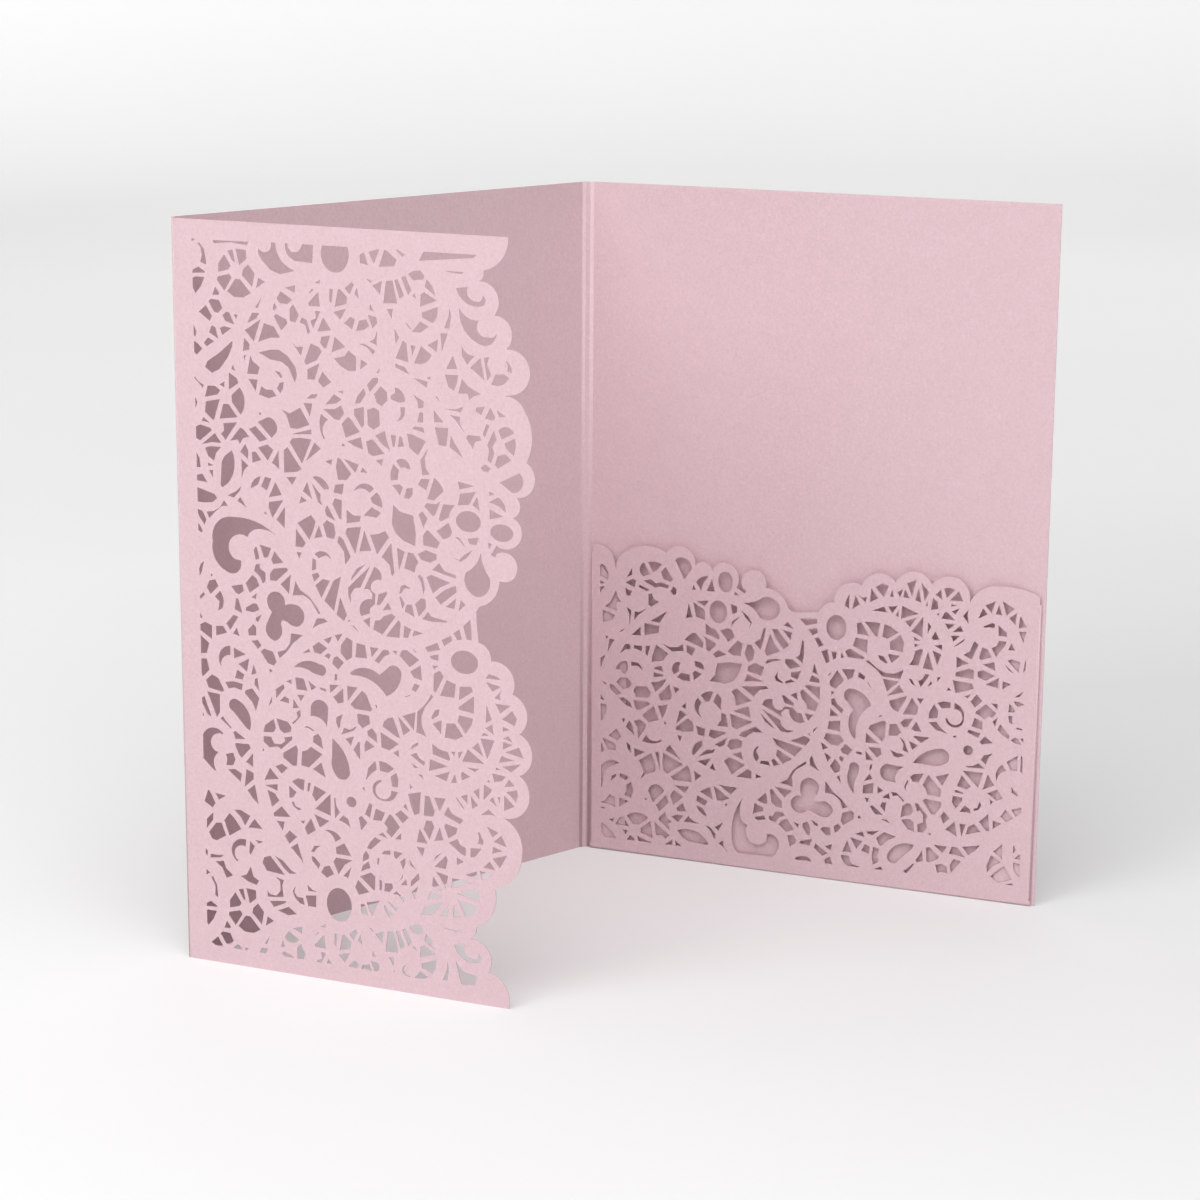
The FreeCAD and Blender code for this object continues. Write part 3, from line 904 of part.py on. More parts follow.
def pocket_front_faces():
    """The pierced front, and the heights of its two sides."""
    sx, sy = FLAP / DRAWN[0], POCKET_PANEL / DRAWN_POCKET
    low, high = TAB_FOLD, POCKET_WIDTH - TAB_FOLD
    edge = outline(POCKET_SCALLOP)
    edge += [p for p in outline(EDGE) if p[1] > edge[-1][1] + 0.5]
    top = stretched([on_pocket(*p) for p in edge], sx, sy)
    blank = [(0.0, -POCKET_WIDTH)] + top + [(0.0, 2.0 * POCKET_WIDTH)]
    blank = cut(cut(blank, 1, low, True), 1, high, False)
    sides = [max(p[0] for p in blank if abs(p[1] - q) < 1e-6) for q in (low, high)]
    blank = [(SHOULDER, high), (SHOULDER, POCKET_WIDTH), (0.0, POCKET_WIDTH),
             (0.0, 0.0), (SHOULDER, 0.0), (SHOULDER, low)] + blank[2:]
    bottom, start, stop = POCKET_WINDOW
    clipped = [inside(points, bottom, start, 2.0 * DRAWN[0], stop) for points in lace_holes()]
    holes = [stretched([on_pocket(*p) for p in points], sx, sy)
             for points in clipped if points]
    return flat_face(blank, holes), sides


def glue_tab(walk, height, far_side):
    """Folds a tab behind the front and returns it and the strip that glues it."""
    side = walk.branch()
    length = height - TAB_FOOT - TAB_DROP
    if far_side:
        side.step(TAB_FOOT + length, POCKET_WIDTH - TAB_FOLD)
        side.turn_in_plane(90)
        shape = [(0, 0), (TAB, TAB_TAPER), (TAB, length), (0, length)]
    else:
        side.step(TAB_FOOT, TAB_FOLD)
        side.turn_in_plane(-90)
        shape = [(0, 0), (TAB, 0), (TAB, length - TAB_TAPER), (0, length)]
    side.bend(length, TAB_BEND, 180)
    face = flat_face(shape, [])
    tab = side.lay(face)
    strip = side.branch().lay(face, CARD, GLUE)
    return side.solids, strip


def folded_card():
    """The whole sheet as one solid, and its two glue strips."""
    heading = FreeCAD.Rotation(Vec(0, 0, 1), FIRST_PANEL_HEADING)
    stand = FreeCAD.Rotation(Vec(1, 0, 0), 90)
    walk = Walk(FreeCAD.Placement(Vec(), heading.multiply(stand)))
    # the pocket: bottom fold, pierced front, side tabs
    pocket = walk.branch()
    pocket.step(POCKET_START, POCKET_FOLD)
    pocket.turn_in_plane(-90)
    pocket.bend(POCKET_WIDTH, POCKET_BEND, 180)
    front, (near_height, far_height) = pocket_front_faces()
    near, near_strip = glue_tab(pocket, near_height, False)
    far, far_strip = glue_tab(pocket, far_height, True)
    pocket.lay(front)
    # the panels
    walk.flat(POCKET_PANEL - RIGHT_CUT, HEIGHT, pocket_panel_face())
    walk.bend(HEIGHT, BEND, RIGHT_CREASE)
    walk.flat(RIGHT_SPINE - 2.0 * RIGHT_CUT, HEIGHT)
    walk.bend(HEIGHT, BEND, RIGHT_CREASE)
    walk.flat(MIDDLE_PANEL - RIGHT_CUT - LEFT_CUT, HEIGHT)
    walk.bend(HEIGHT, BEND, LEFT_CREASE)
    walk.flat(LEFT_SPINE - 2.0 * LEFT_CUT, HEIGHT)
    walk.bend(HEIGHT, BEND, LEFT_CREASE)
    walk.lay(flap_face())
    pieces = walk.solids + pocket.solids + near + far
    card = pieces[0].multiFuse(pieces[1:]).removeSplitter()
    return card, near_strip, far_strip


def main():
    card, right_strip, left_strip = folded_card()
    box = card.BoundBox
    shift = Vec(-0.5 * (box.XMin + box.XMax), -0.5 * (box.YMin + box.YMax), -box.ZMin)
    os.makedirs("parts", exist_ok=True)
    for name, shape in (("folded_card", card), ("right_glue_strip", right_strip),
                        ("left_glue_strip", left_strip)):
        shape.translate(shift)
        solid = shape.Solids[0] if len(shape.Solids) == 1 else shape
        solid.exportStep("parts/%s.step" % name)
        print(name, "solids", len(shape.Solids), "valid", shape.isValid(),
              "volume %.2f" % shape.Volume, "box", solid.BoundBox)
    print("shift", shift)


main()
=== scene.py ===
import math

import bmesh
import bpy
from mathutils import Matrix, Vector
from mathutils.geometry import delaunay_2d_cdt


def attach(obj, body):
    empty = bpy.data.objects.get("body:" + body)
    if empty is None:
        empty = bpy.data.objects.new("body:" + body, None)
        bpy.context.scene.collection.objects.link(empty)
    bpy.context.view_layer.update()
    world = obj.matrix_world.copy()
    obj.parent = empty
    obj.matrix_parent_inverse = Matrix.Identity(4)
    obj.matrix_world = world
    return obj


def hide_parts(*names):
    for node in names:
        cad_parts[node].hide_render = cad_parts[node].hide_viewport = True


# A laser-cut pocket fold invitation standing open on its bottom edges, with the
# camera in front of it. The card's sizes are in millimetres until its mesh is made.
# The backdrop, the lamps and the textures are in metres, and angles in degrees.

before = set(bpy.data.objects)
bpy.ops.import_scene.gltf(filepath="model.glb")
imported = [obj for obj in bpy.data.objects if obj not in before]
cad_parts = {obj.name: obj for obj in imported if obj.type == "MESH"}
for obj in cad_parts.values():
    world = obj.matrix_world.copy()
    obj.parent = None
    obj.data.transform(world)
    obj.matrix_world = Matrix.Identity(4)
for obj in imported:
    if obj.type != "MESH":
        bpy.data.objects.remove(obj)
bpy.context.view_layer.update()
MM = 0.001
TINY = 1e-6               # too small to count

# --- the card, on the same sizes as the CAD model ---
HEIGHT = 185.0
POCKET_PANEL = 128.0
MIDDLE_PANEL = 133.3
FLAP = 88.3
RIGHT_SPINE = 2.33
LEFT_SPINE = 2.49
CARD = 0.30
BEND = 0.30
RIGHT_CREASE = 32.87
LEFT_CREASE = 56.69
FIRST_PANEL_HEADING = 157.27
TAB_BEND = 0.10
GLUE = 0.10
TAB = 10.0
TAB_TAPER = 14.0
TAB_DROP = 2.1
TAB_FOOT = 1.5
SHOULDER = 1.0
POCKET_START = 1.0
POCKET_END = 0.9
RELIEF = 0.25
BORDER_FOLD = 5.3
BORDER_TOP = 4.4
BORDER_BOTTOM = 4.2
SLIVER = 0.35             # square millimetres: less of a clipped cut-out is dropped
CHORD = 8.0               # round stretches of the lace turn this much per chord
DRAWN_WIDTH = 88.3        # of the flap in the drawing
REPEAT = 158.0
REPEAT_TILT = 0.55
REPEAT_SHIFT = 0.30
REPEAT_CLOSE = 1.1
LACE_MIDDLE = (45.0, 92.0)
POCKET_MIDDLE = (38.25, 63.0)
LACE_NARROW = 0.98
LACE_LEAN = 0.013
LACE_CLOSE = 0.00052
CLOSE_AT = -22.0
CLOSE_REACH = 62.0
POCKET_WINDOW = (10.6, 31.2, 153.3)
POCKET_SCALLOP = "89.2 27 (91.3 32.5 92 38.4)"
SCALLOP_END = 0.5         # the flap's edge goes on from this far past its end

# --- the lace ---
# Each line is one outline, and a line set in goes on with it: corners as "along up"
# pairs from the crease and the bottom edge. "(m n x y)" is a round stretch from the
# corner before it, through m n, to x y.
EDGE = """
88.3 0 (87 6.2 83 8.4) (83.3 13.4 78.2 16.2) (79.5 17.6 79.8 19.4) (84 23.2 84.7 29.8)
(89.3 32.4 91.8 38.5) (91 44 87 47.6) (93.4 51.4 91.2 58.5) (94.5 63.5 91.1 68.6)
(93.2 72.8 89.3 78) (89.4 82.5 83.8 85.4) (82.8 88.4 80.6 89.6) 80.1 94.4 80 97.1 80.9 98.4
(85 101.4 86 105) (90.6 108.4 85.2 111.3) 84.9 110.4 83.8 110.9 85.2 113.3
(88.6 112.8 91.3 114.9) (91.4 118.3 89.3 120.2) (91.3 122.5 90.3 125.1) (94.8 128.1 92.8 133.4)
(94.3 139.4 92.4 145.4) (90.2 147.8 87.2 148.5) 89.6 149 (93.7 154.8 87.7 159.3)
(89.1 163.6 84.7 166.9) (85.7 171.2 80.6 174.5) (81.8 175.4 82 177.1) (86.4 179.6 88.3 185)
"""

# the top band, which comes again at the foot
TOP_BAND = """
5.3 172.2 5.4 173 7 173.8 8.8 172.7 8.7 172.4
5.3 171 6 171.4 8.6 171.4 7.6 169.2 6 167.3 5.3 168.5
12.4 172.8 12.4 174.8 14.1 177.1 15.8 174.5 15.2 173.6
15 178 16.4 178.3 17 175.3 16.2 175.6
17.2 178.6 20 178.4 20.1 176.3 18.1 174.7
20.5 175.1 22.2 173.1 21.5 169.7 18.8 172.3 19.1 173.7
16.9 171.4 18.3 171.4 21.1 168.3 19 167.1 16.5 167.1 14.7 168.3
12 170.8 12.2 171.7 15.4 172.6 16 171.6 13.9 168.4
23.2 172.1 25 171.2 22.6 169.6
11.5 169.3 12.6 167.8 12.2 167.3 10.6 167.3
9.5 165.7 10.2 166.3 12.4 166.2 13.3 164.2 12 163 11 163.2
13.3 162.6 14.3 163.5 15.2 163.3 16.5 160.5 14 161.2
16.4 163 17.5 163 17 161.8
6.8 163 8.8 164.8 10.4 162.2 9.8 160.9
22.2 165 23.9 167.3 22.9 164.8
20 161.1 21.4 163.7 23.3 163.7 22.5 162.4
26.9 165.2 27.5 166.5 28.1 165.2 27.2 164.5
27.2 163.2 27.8 163.8 30.6 162.6 30.8 161.7 29.1 159.9
51.8 173.5 53.5 173 52.8 172.6
53.5 172 56 173.3 55.4 169.9
57 173.3 58.7 173.5 59.9 168.2 56.3 168
59.2 173.6 60 173.9 61.7 170.1 60.5 169.4
61 174.4 62 174.8 63.6 171.5 62.7 170.3
62.8 175.3 64 176 66 176.2 66.9 175 66.6 174.1 64 173.8
57.2 166.8 58.7 166.9 58.4 164.5
46.2 171 48 172.5 48.6 171.9 47.4 169.5
49.4 171.3 50 168.5 48.7 169.7
42.2 170.6 43.1 170.5 42.6 167.2 42.1 167.6
44.4 170.6 45 170.6 46.8 168.9 46.6 167.3 43.5 166.4
43.1 165.2 46.5 166.2 44.9 163.4
47.6 164.4 48.8 163.8 48 161.4 45.9 162.7
49.9 163.6 51.8 164 52.5 162.5 51.2 161.5 49.1 161.1
52.2 165.1 54.4 164.7 54.6 163.3 53.4 162
52.8 167.7 53.8 166 52.6 166.2
40.4 163.8 42.5 160.8 38.8 160.3
39.2 169.7 39.6 166.2 36.7 166.2 36.5 166.9
36.6 169 37.5 170.3 37.9 170
38.2 171.7 39.8 172.6 39.6 171.6
30.3 170.1 33.1 170.9 32.9 169
29.2 169.2 32.2 167.4 31 166.3 28.9 166.3 28 167.5
32.5 166.4 33.9 163.9 33 162 31.5 162.3 31.5 165.3
38.3 165.2 39.7 165.1 37.7 161 37 162.7 38.5 163.5
71.8 176.5 77.1 176.5 76.3 175.9 74.1 176.1
75.1 172.7 78.1 173.2 (78.4 170.6 80 169.9) (81.2 170 81.8 171.3)
  (82.5 169.9 81.5 168.9) (78.1 169.1 75.1 172.7)
67.5 174.3 67 172.4 69.8 170.5 68.9 172.9
64.4 170.9 64.9 169.5 63.8 170.2
66 170.7 66.8 171.3 70.1 169.5 65.8 167.8
66.2 166.5 70.4 168.1 70.1 165.6 69.1 164.2 66.4 165.2
65.8 164.4 68 163.3 65.8 161.8 63.6 161.8
73.3 168 73.8 166.3 73.3 163.2 72 163.3 73.1 165.8
"""

# top corner by the crease: a wheel of spokes, a long drop and a leaf
CORNER_WHEEL = """
5.3 179.7 6.6 180.3 5.3 180.4
7.4 179.6 8.6 178 9.1 175.5 9.1 174.3 7.5 174.9 8 176.5 7.7 178.3 6.9 179.2
11 180.3 20.8 180.4 20.3 179.5 15.5 180 11.4 179.5
12.5 159.5 13.7 160 15.6 159.6 13.1 157.8
10.3 160 9.5 158.2 12 156.8 11.3 159.6
5.3 160 6 158.3 5.8 157 5.3 157.2
5.3 156 6.5 155.3 7.6 154.2 5.9 152.6 5.3 153.2
8 155.6 9.2 157 10.9 156.2 8.7 154.8
15.9 156.7 12.3 153.6 8.9 151.3 8.2 149.8 10 148.5 12.2 149.6 14.5 152.5 15.8 155.3
19.2 159.4 20.7 160.3 23.6 162.3 21.7 156.8
22.9 156.8 24.5 161.4 27.3 160.7 28.8 158.2 26 158
19.1 157.6 20.5 156.2 20.4 154.8 18.7 154.4
18.9 153.3 19.5 153.5 19 151.9
20.7 153.5 21.2 152.2 23.2 150.8 22.6 149 19.7 149
22.9 154.3 26 155.2 28.5 155.3 30.8 154 32.8 151.5 33.2 149.6 32.6 147.7 32 149 31 151.2 29 152.5 26 152.8
15.4 149.8 15.9 151 16.5 149.3
23.4 179 24 178.4 25 178.1 26.3 178.6 26.8 179.5 26.8 180.6 27.9 180.6
  28.2 178.5 29.5 176.3 31.2 175 33 174.2 29 173.2 26.5 174 24.2 176.2 23.3 177.8
30.5 180.6 31.3 180.6 31.3 179.6 32.2 178.6 33.8 178.7 34.8 179.7
  35 180.6 38 180.6 37.7 176.3 33 176.5 31.3 177.6 30.6 179
"""

# below the top border, middle
TOP_MIDDLE = """
50.2 179 51.3 179.6 52.4 176.6 50.3 177
52.5 179.8 55.4 180.6 53.9 177
56.7 180.5 57.5 180.2 59.8 178.3 59.2 176.8 55.2 176.4
59.2 180.9 60.3 180.6 62 179.6 61.4 179
59.1 162.3 60.3 160.4 59.4 158.7
61.3 159.7 62.2 159.1 62.7 154.6 59.4 155.4
59.3 154.2 61.8 153.5 62.9 151.8 59.3 153.2
54.6 161.5 54.4 158 52.6 158.9 53.9 159.7
49.6 158.2 51.5 158.2 54 156.8 53.4 155.8 52 157.4
50.2 154.5 52 153.6 50.1 152.2
43.1 154.3 46 155 47 156.4 49 155 48.9 151.7 47 151.5 44.8 152.5
43.4 159.4 46.2 157.2 42.5 155.6
42.2 159.6 41.2 156.7 40.5 156.4 39.5 157.7 39.9 159.2
34.7 163.4 36 162.9 36.9 160.2 36.3 159.4 35.6 161.6 34.1 162.1
32 157.4 33 156.3 35 156.5 34.3 154.2
37 157.4 39.2 156.6 39.9 155.7 38.5 153.5 35.7 152.2 35.2 153
36 151.2 39.3 152.9 37.9 148.8 36 148.8
38.8 148.4 40 151 42.3 148.6 40.2 147.1
51.8 148.6 53.2 150.3 54.7 150.6 54.7 149.5 52.5 146.9
"""

# the two curls by the top of the free edge
TOP_CURLS = """
66.9 180.9 80.9 181 79.4 179.8 65.6 178.4
75.9 168.1 (78.3 165.9 80.9 165.6) (80.9 162.6 83.2 161.9)
  (84.6 162 85.3 162.9) (84.5 160.8 81.5 159.9) (78.4 161.6 75.9 168.1)
76.4 159.5 (77.7 157.9 79.8 157.3) 77.7 155.2 76.5 157.2
74.2 157 75.3 153.9 72.4 153.8
72.1 152.5 75.5 152.6 75.2 150.9 74.4 148.8 73 149.6
81.2 157 82.2 151.8 78.6 154.5
82.1 157.1 83.5 157.4 82.9 155.6 83.9 153.3 83 151.8
87.6 156.8 (88.9 155.6 89.1 154) 88 154.3 88.3 155.6
85 153.4 87.2 153.6 88.4 152.8 (86.8 151.1 84 151)
71 162 72.9 162.1 71.3 157.8 71.2 160.3
70.4 160.6 70 157.5 67.6 159
63.3 158.8 64.6 158.6 63.7 156.3
66 158.7 68.7 156.8 (67.2 155 64.2 154.6)
63.9 151.1 65.7 150.9 67.6 150.5 67.4 149
68.4 151.8 68.1 150.9 67.4 151.4
76.5 151.8 78 150.2 81.3 148.5 79.5 148 78.3 147 78 148.4 75.5 148.3
"""

# leaves and a half wheel, upper left
LEAVES = """
5.3 147.4 6.3 146.2 7.7 145.5 7.5 144.7 5.3 146.8
13.5 146.8 13.4 145.2 12.1 145.9
8.8 145.4 10.8 145.5 12.2 144.5 11.5 143.4 8 142.6
14.7 149 16.9 147.7 17.3 146.6 14.6 144.8
17.6 145.6 (18.9 142.2 17.7 138.9) 15.4 141.8 15.3 143.6
5.3 142.4 5.9 141.2 5.3 139.6
8.2 141.5 12.1 142.4 10.4 137.2 9.9 137.2 7.9 138.9
13 141.3 14.5 141.3 16.9 138.3 11.9 137.6
7.4 137.7 9.2 136.4 7 136.7
5.3 135.2 6.5 135.8 9.3 135.2 9.7 134.6 6.4 131.9 5.3 132.3
10.5 134 12.3 131.7 9.5 131.7 6.8 131
12.9 136.6 16.7 137.1 13.4 132.5 12.2 134 13.1 134.8
17.5 135.9 18.5 135.5 20 133.8 18.3 133.4 17.3 131.8 16.8 132.9 14.7 132.5
7.7 130.2 9 130.7 12.2 130.8 10.8 129.2 10.1 127.2 8.6 128.1
5.3 128.9 6.1 127.7 6.4 125.3 5.3 125.3
8.4 126.7 10.1 126.1 8.5 125.8
8.7 124.8 9.8 124.9 9.7 123
5.3 123.4 6.8 123.8 8.2 121.8 5.3 122
5.3 120.4 10.1 119.1 10.8 118.1 9.4 117 7 116.7 5.3 116.8
15.1 130.2 (15.6 125.2 13.7 121.9) 12.3 120.9 11.8 121.4 12.2 127.1 13.1 128.7
18.8 132 19.6 130.5 19.5 128.3 17.4 130
20.6 130.2 21.6 130.4 23.2 128.5 20.7 127.6
17.7 128.3 19.6 126.8 18.4 125.7 17.7 123.6
22.3 131.4 24.8 132.4 26.5 131.2 24.9 128.4
27.9 131.2 28 126.6 26 128
22.3 137.6 25.2 139 (27.3 137.7 27.4 135.4) 26 134
21.7 136.6 24.9 133.6 22.7 132.8 19.9 135.7
20 147.8 22.6 147.8 21.9 144.9
23.5 146.3 24.7 145.6 26.5 145.6 27.6 144.2 25.3 143.5 22.8 144.2
29.6 147.7 29.4 146.1 28.6 144.9 27.7 146 28.5 147.5
20.1 121.3 (20.9 123.3 22.9 124.5) 22.2 122.5
24.1 124.5 25.8 124.2 24.5 121.1 22.9 122
26.9 123.5 28.6 120.4 25 119.6
25 118.4 29 119.3 25.9 114.6 24.9 117.1
29.4 117.7 29.2 112.3 27 114.3
17.4 121.6 17.2 120.6 15.3 118.6 13.7 119.1 15.9 120.2
17.2 119 18.9 116.5 16.3 117.9
12.7 117.8 13.7 116.5 12 116.3 10.1 114.7 8.4 113 7.8 114.6 9.8 114.9 11.4 115.9
27.2 150.3 28.7 150 29.3 148.8 28.7 148.6
"""

# wheels side by side, upper middle
TWIN_HUBS = """
35.7 144.2 36.9 145.3 38.7 145.5 38 144.4
34.8 143.1 37.2 143.2 36.5 139.9
40.8 143.2 43 145.8 45 144.7 43.6 143.6
44 146.5 45.5 146.8 45.3 146
40.1 142 43.2 142.3 44.9 143.3 45.7 141.4 44.3 139.6 42.9 139.9
39.5 140.8 41.4 139.6 (39.9 137.4 40.6 135) 40.1 134.9 (39.1 137.8 39.5 140.8)
46.6 140.6 47.3 140.3 49.8 137.3 46 135.7 45 138.9
48.3 142.7 50.9 143.4 50.9 139 50.2 138.3 48.3 141.3
51.8 142.7 53.5 143.4 54.9 142.7 55.1 139.3 53.4 138.1 51.9 138.9
51 147.8 51.4 146.4 50 144.2 48.6 143.9 49.3 145.9
55.4 148.6 57 147.3 57.1 145.2 55.5 143.8 54.3 144.6 53.6 146.6
59.1 148.6 (60.8 147.8 61.7 145.3) 60 145 58.1 145.6 58 146.6 59.2 147.3
60.5 144 61.7 144.1 61.6 142.2 60.8 141.1 59.6 140.6 60.6 142.1
53.8 136.8 56.4 138.1 56.8 136.1 57.8 133.4 55.7 134.7
57.9 137.3 59.3 137.2 58.9 134.3 58.4 134.6
60.2 137.1 60.8 137 61.4 134.8 59.8 134.5
51.4 135.2 53.1 135.9 56.3 132.6 53.1 131.8 52 132.3
53.9 130.9 55.9 131.4 55.4 129.6
50 136.1 50.6 133.1 48.2 133.8 46.4 134.8
44.8 133.9 45.3 134.2 45.9 133.8 45.2 133.5
43.7 130.6 44.5 130.6 47.4 127.1 46.1 125.5 43.8 125.4 43.3 128.4
45.4 130.6 49.4 129.5 48.4 127.4
50.4 128.9 51.7 127.7 49.8 127.7
40.4 129.5 42.3 130.2 42.1 128.8
48 123 (49.9 124.9 53.4 124.1) 52.1 122.9 (50.2 123.8 48 123)
54.1 123.3 (55.2 121.8 55.5 119.6) 52.9 120.5 52.4 121.8
52.7 119.6 55.2 118.4 53.9 117.1 50.5 117.4
46 118.4 47.8 117.2 49.8 117.2 49.5 115.8 46 115.1
36.9 125.5 37.7 125.8 (40.2 124.9 41.4 122.9) 40 122.7
45.4 124.6 44.9 121.9 42.6 122.2 43 124.1
42.9 120.9 44.8 120.5 44.6 115.9 44.1 115.9 42.2 119.4
40.8 119 43 115.4 40.7 116.3 40.1 117.7
36.8 124 39.1 121.4 39 120 39.6 118.9 38.4 119.4 37.6 121.8
35.5 124.2 36.8 120.1 34.3 121.8
33.8 120.6 35.4 119.6 33.3 118.8
30.9 133.4 31.7 134.4 33.9 134.7 36.8 134.5 34.2 128.4
37.6 133.9 39.3 132.5 35.3 129.2
31.4 135.4 36.8 136.9 36.9 135.7
28.8 141.2 31 140.3 33.9 141.9 36.4 138 33 136.7 31.2 136.8 30.2 139.7
30.3 132.2 34 127.2 32.9 126.4 29.3 125.9 29.3 131.4
29.9 124.9 32.7 125.2 31.4 123
58.6 130.4 60 129.1 59.6 126.6 57.8 126.4 57.8 128.6
58.2 125.3 60.2 125.7 61 125 60.2 123
"""

# ring pair and wheel, upper right
OVAL_RINGS = """
63.8 147.3 66.6 145.8 66.5 144.3 65.2 144.1 65 145.6
65.5 143.2 66.4 143.2 66.4 140.8 64.9 140.8
64.2 139.8 66.5 139.6 66.7 138.3 63.7 139.1
62.2 137.9 63.5 137.8 67.1 136.5 65 132.9 62.8 134.5
69.2 143.9 71.7 141.2 69.3 141.1
69.4 140 72.9 140 72.4 135.6 70.5 135.8
73.6 138.2 76.7 133.3 73.2 135.5
72.1 144.5 75 144.6 76.9 145.4 76.1 143.9
73.4 143.1 75.9 142.9 75.8 141.4 77.2 139 74.9 141.9
78 138.8 81.1 138.8 81.3 137.7 79.8 137.3 79.2 135.6 77.5 138
80.2 145.4 82.3 145.8 81.4 143.7 80 144.4
83.7 145.6 85 143.4 84.3 142.5 82.4 143
85.3 145.2 87.9 143.7 86 143.6
82.7 141.7 83.5 141.5 82.3 138.5 81.8 139.3
84.6 140.4 85.3 138.2 84.2 136.5 84.7 135 83.9 132.6 83 133.2 83.4 135.6 82.9 136.8
85.8 140.4 (87.9 141.4 89.7 140) 86.6 138.4
87.3 137.6 90 138.9 90.2 137 89.7 134.7 87.8 136.2
85.5 134.4 87.5 135.1 89 133.7 85.6 131.5 84.9 132.3
82.4 132.3 83.8 131.4 83.1 130.5 81.8 130.5 81.3 131.4
86 128.3 91.1 130.9 (92 128.1 89.2 126.1)
83.4 126 84.8 125.5 83.5 124.9
83.3 123.4 85.6 124.8 (87.2 123.3 87.6 121.3) 85.9 122.6
83.5 121.8 87 120.3 83.5 119.4
75.3 127.7 79.6 126.9 75.8 125.8
75.9 124.8 80 125.6 78.2 122.3 75.3 122
80.3 124.5 81 121 79.1 122.3
69.2 128 (70.8 126.6 71.6 125) 69 122.5 67.4 122.8
65.8 127.5 68 127.5 67.1 124.8 64.9 126
67.7 134.9 66.8 132.5 67 130.2 68 128.6 66.1 128.4 65.6 131.9
67.1 121.8 69.7 121.8 70.9 122.7 69.3 119 68.6 118.9 66.6 120.9
71.5 121.9 74.5 122 73.3 120.3 73 119 70.8 117.7 70.3 118.2
72.9 117.7 73.8 115.5 73.3 114.3 71.4 113.5 69.8 115.4
66 119.8 67.4 118.2 66.3 115.8 65.1 118.9
77.8 114.3 80.7 114.8 80 112.9 78.4 113
83.1 113.9 84.1 113.6 83.3 112.3
59.3 131.2 (61.5 131.7 62.9 129.5) 62.3 129.4 61.6 129.9 60.4 129.6
62 124.9 63.6 125.2 63.5 123.4 62.6 122.4 61.3 122.5
"""

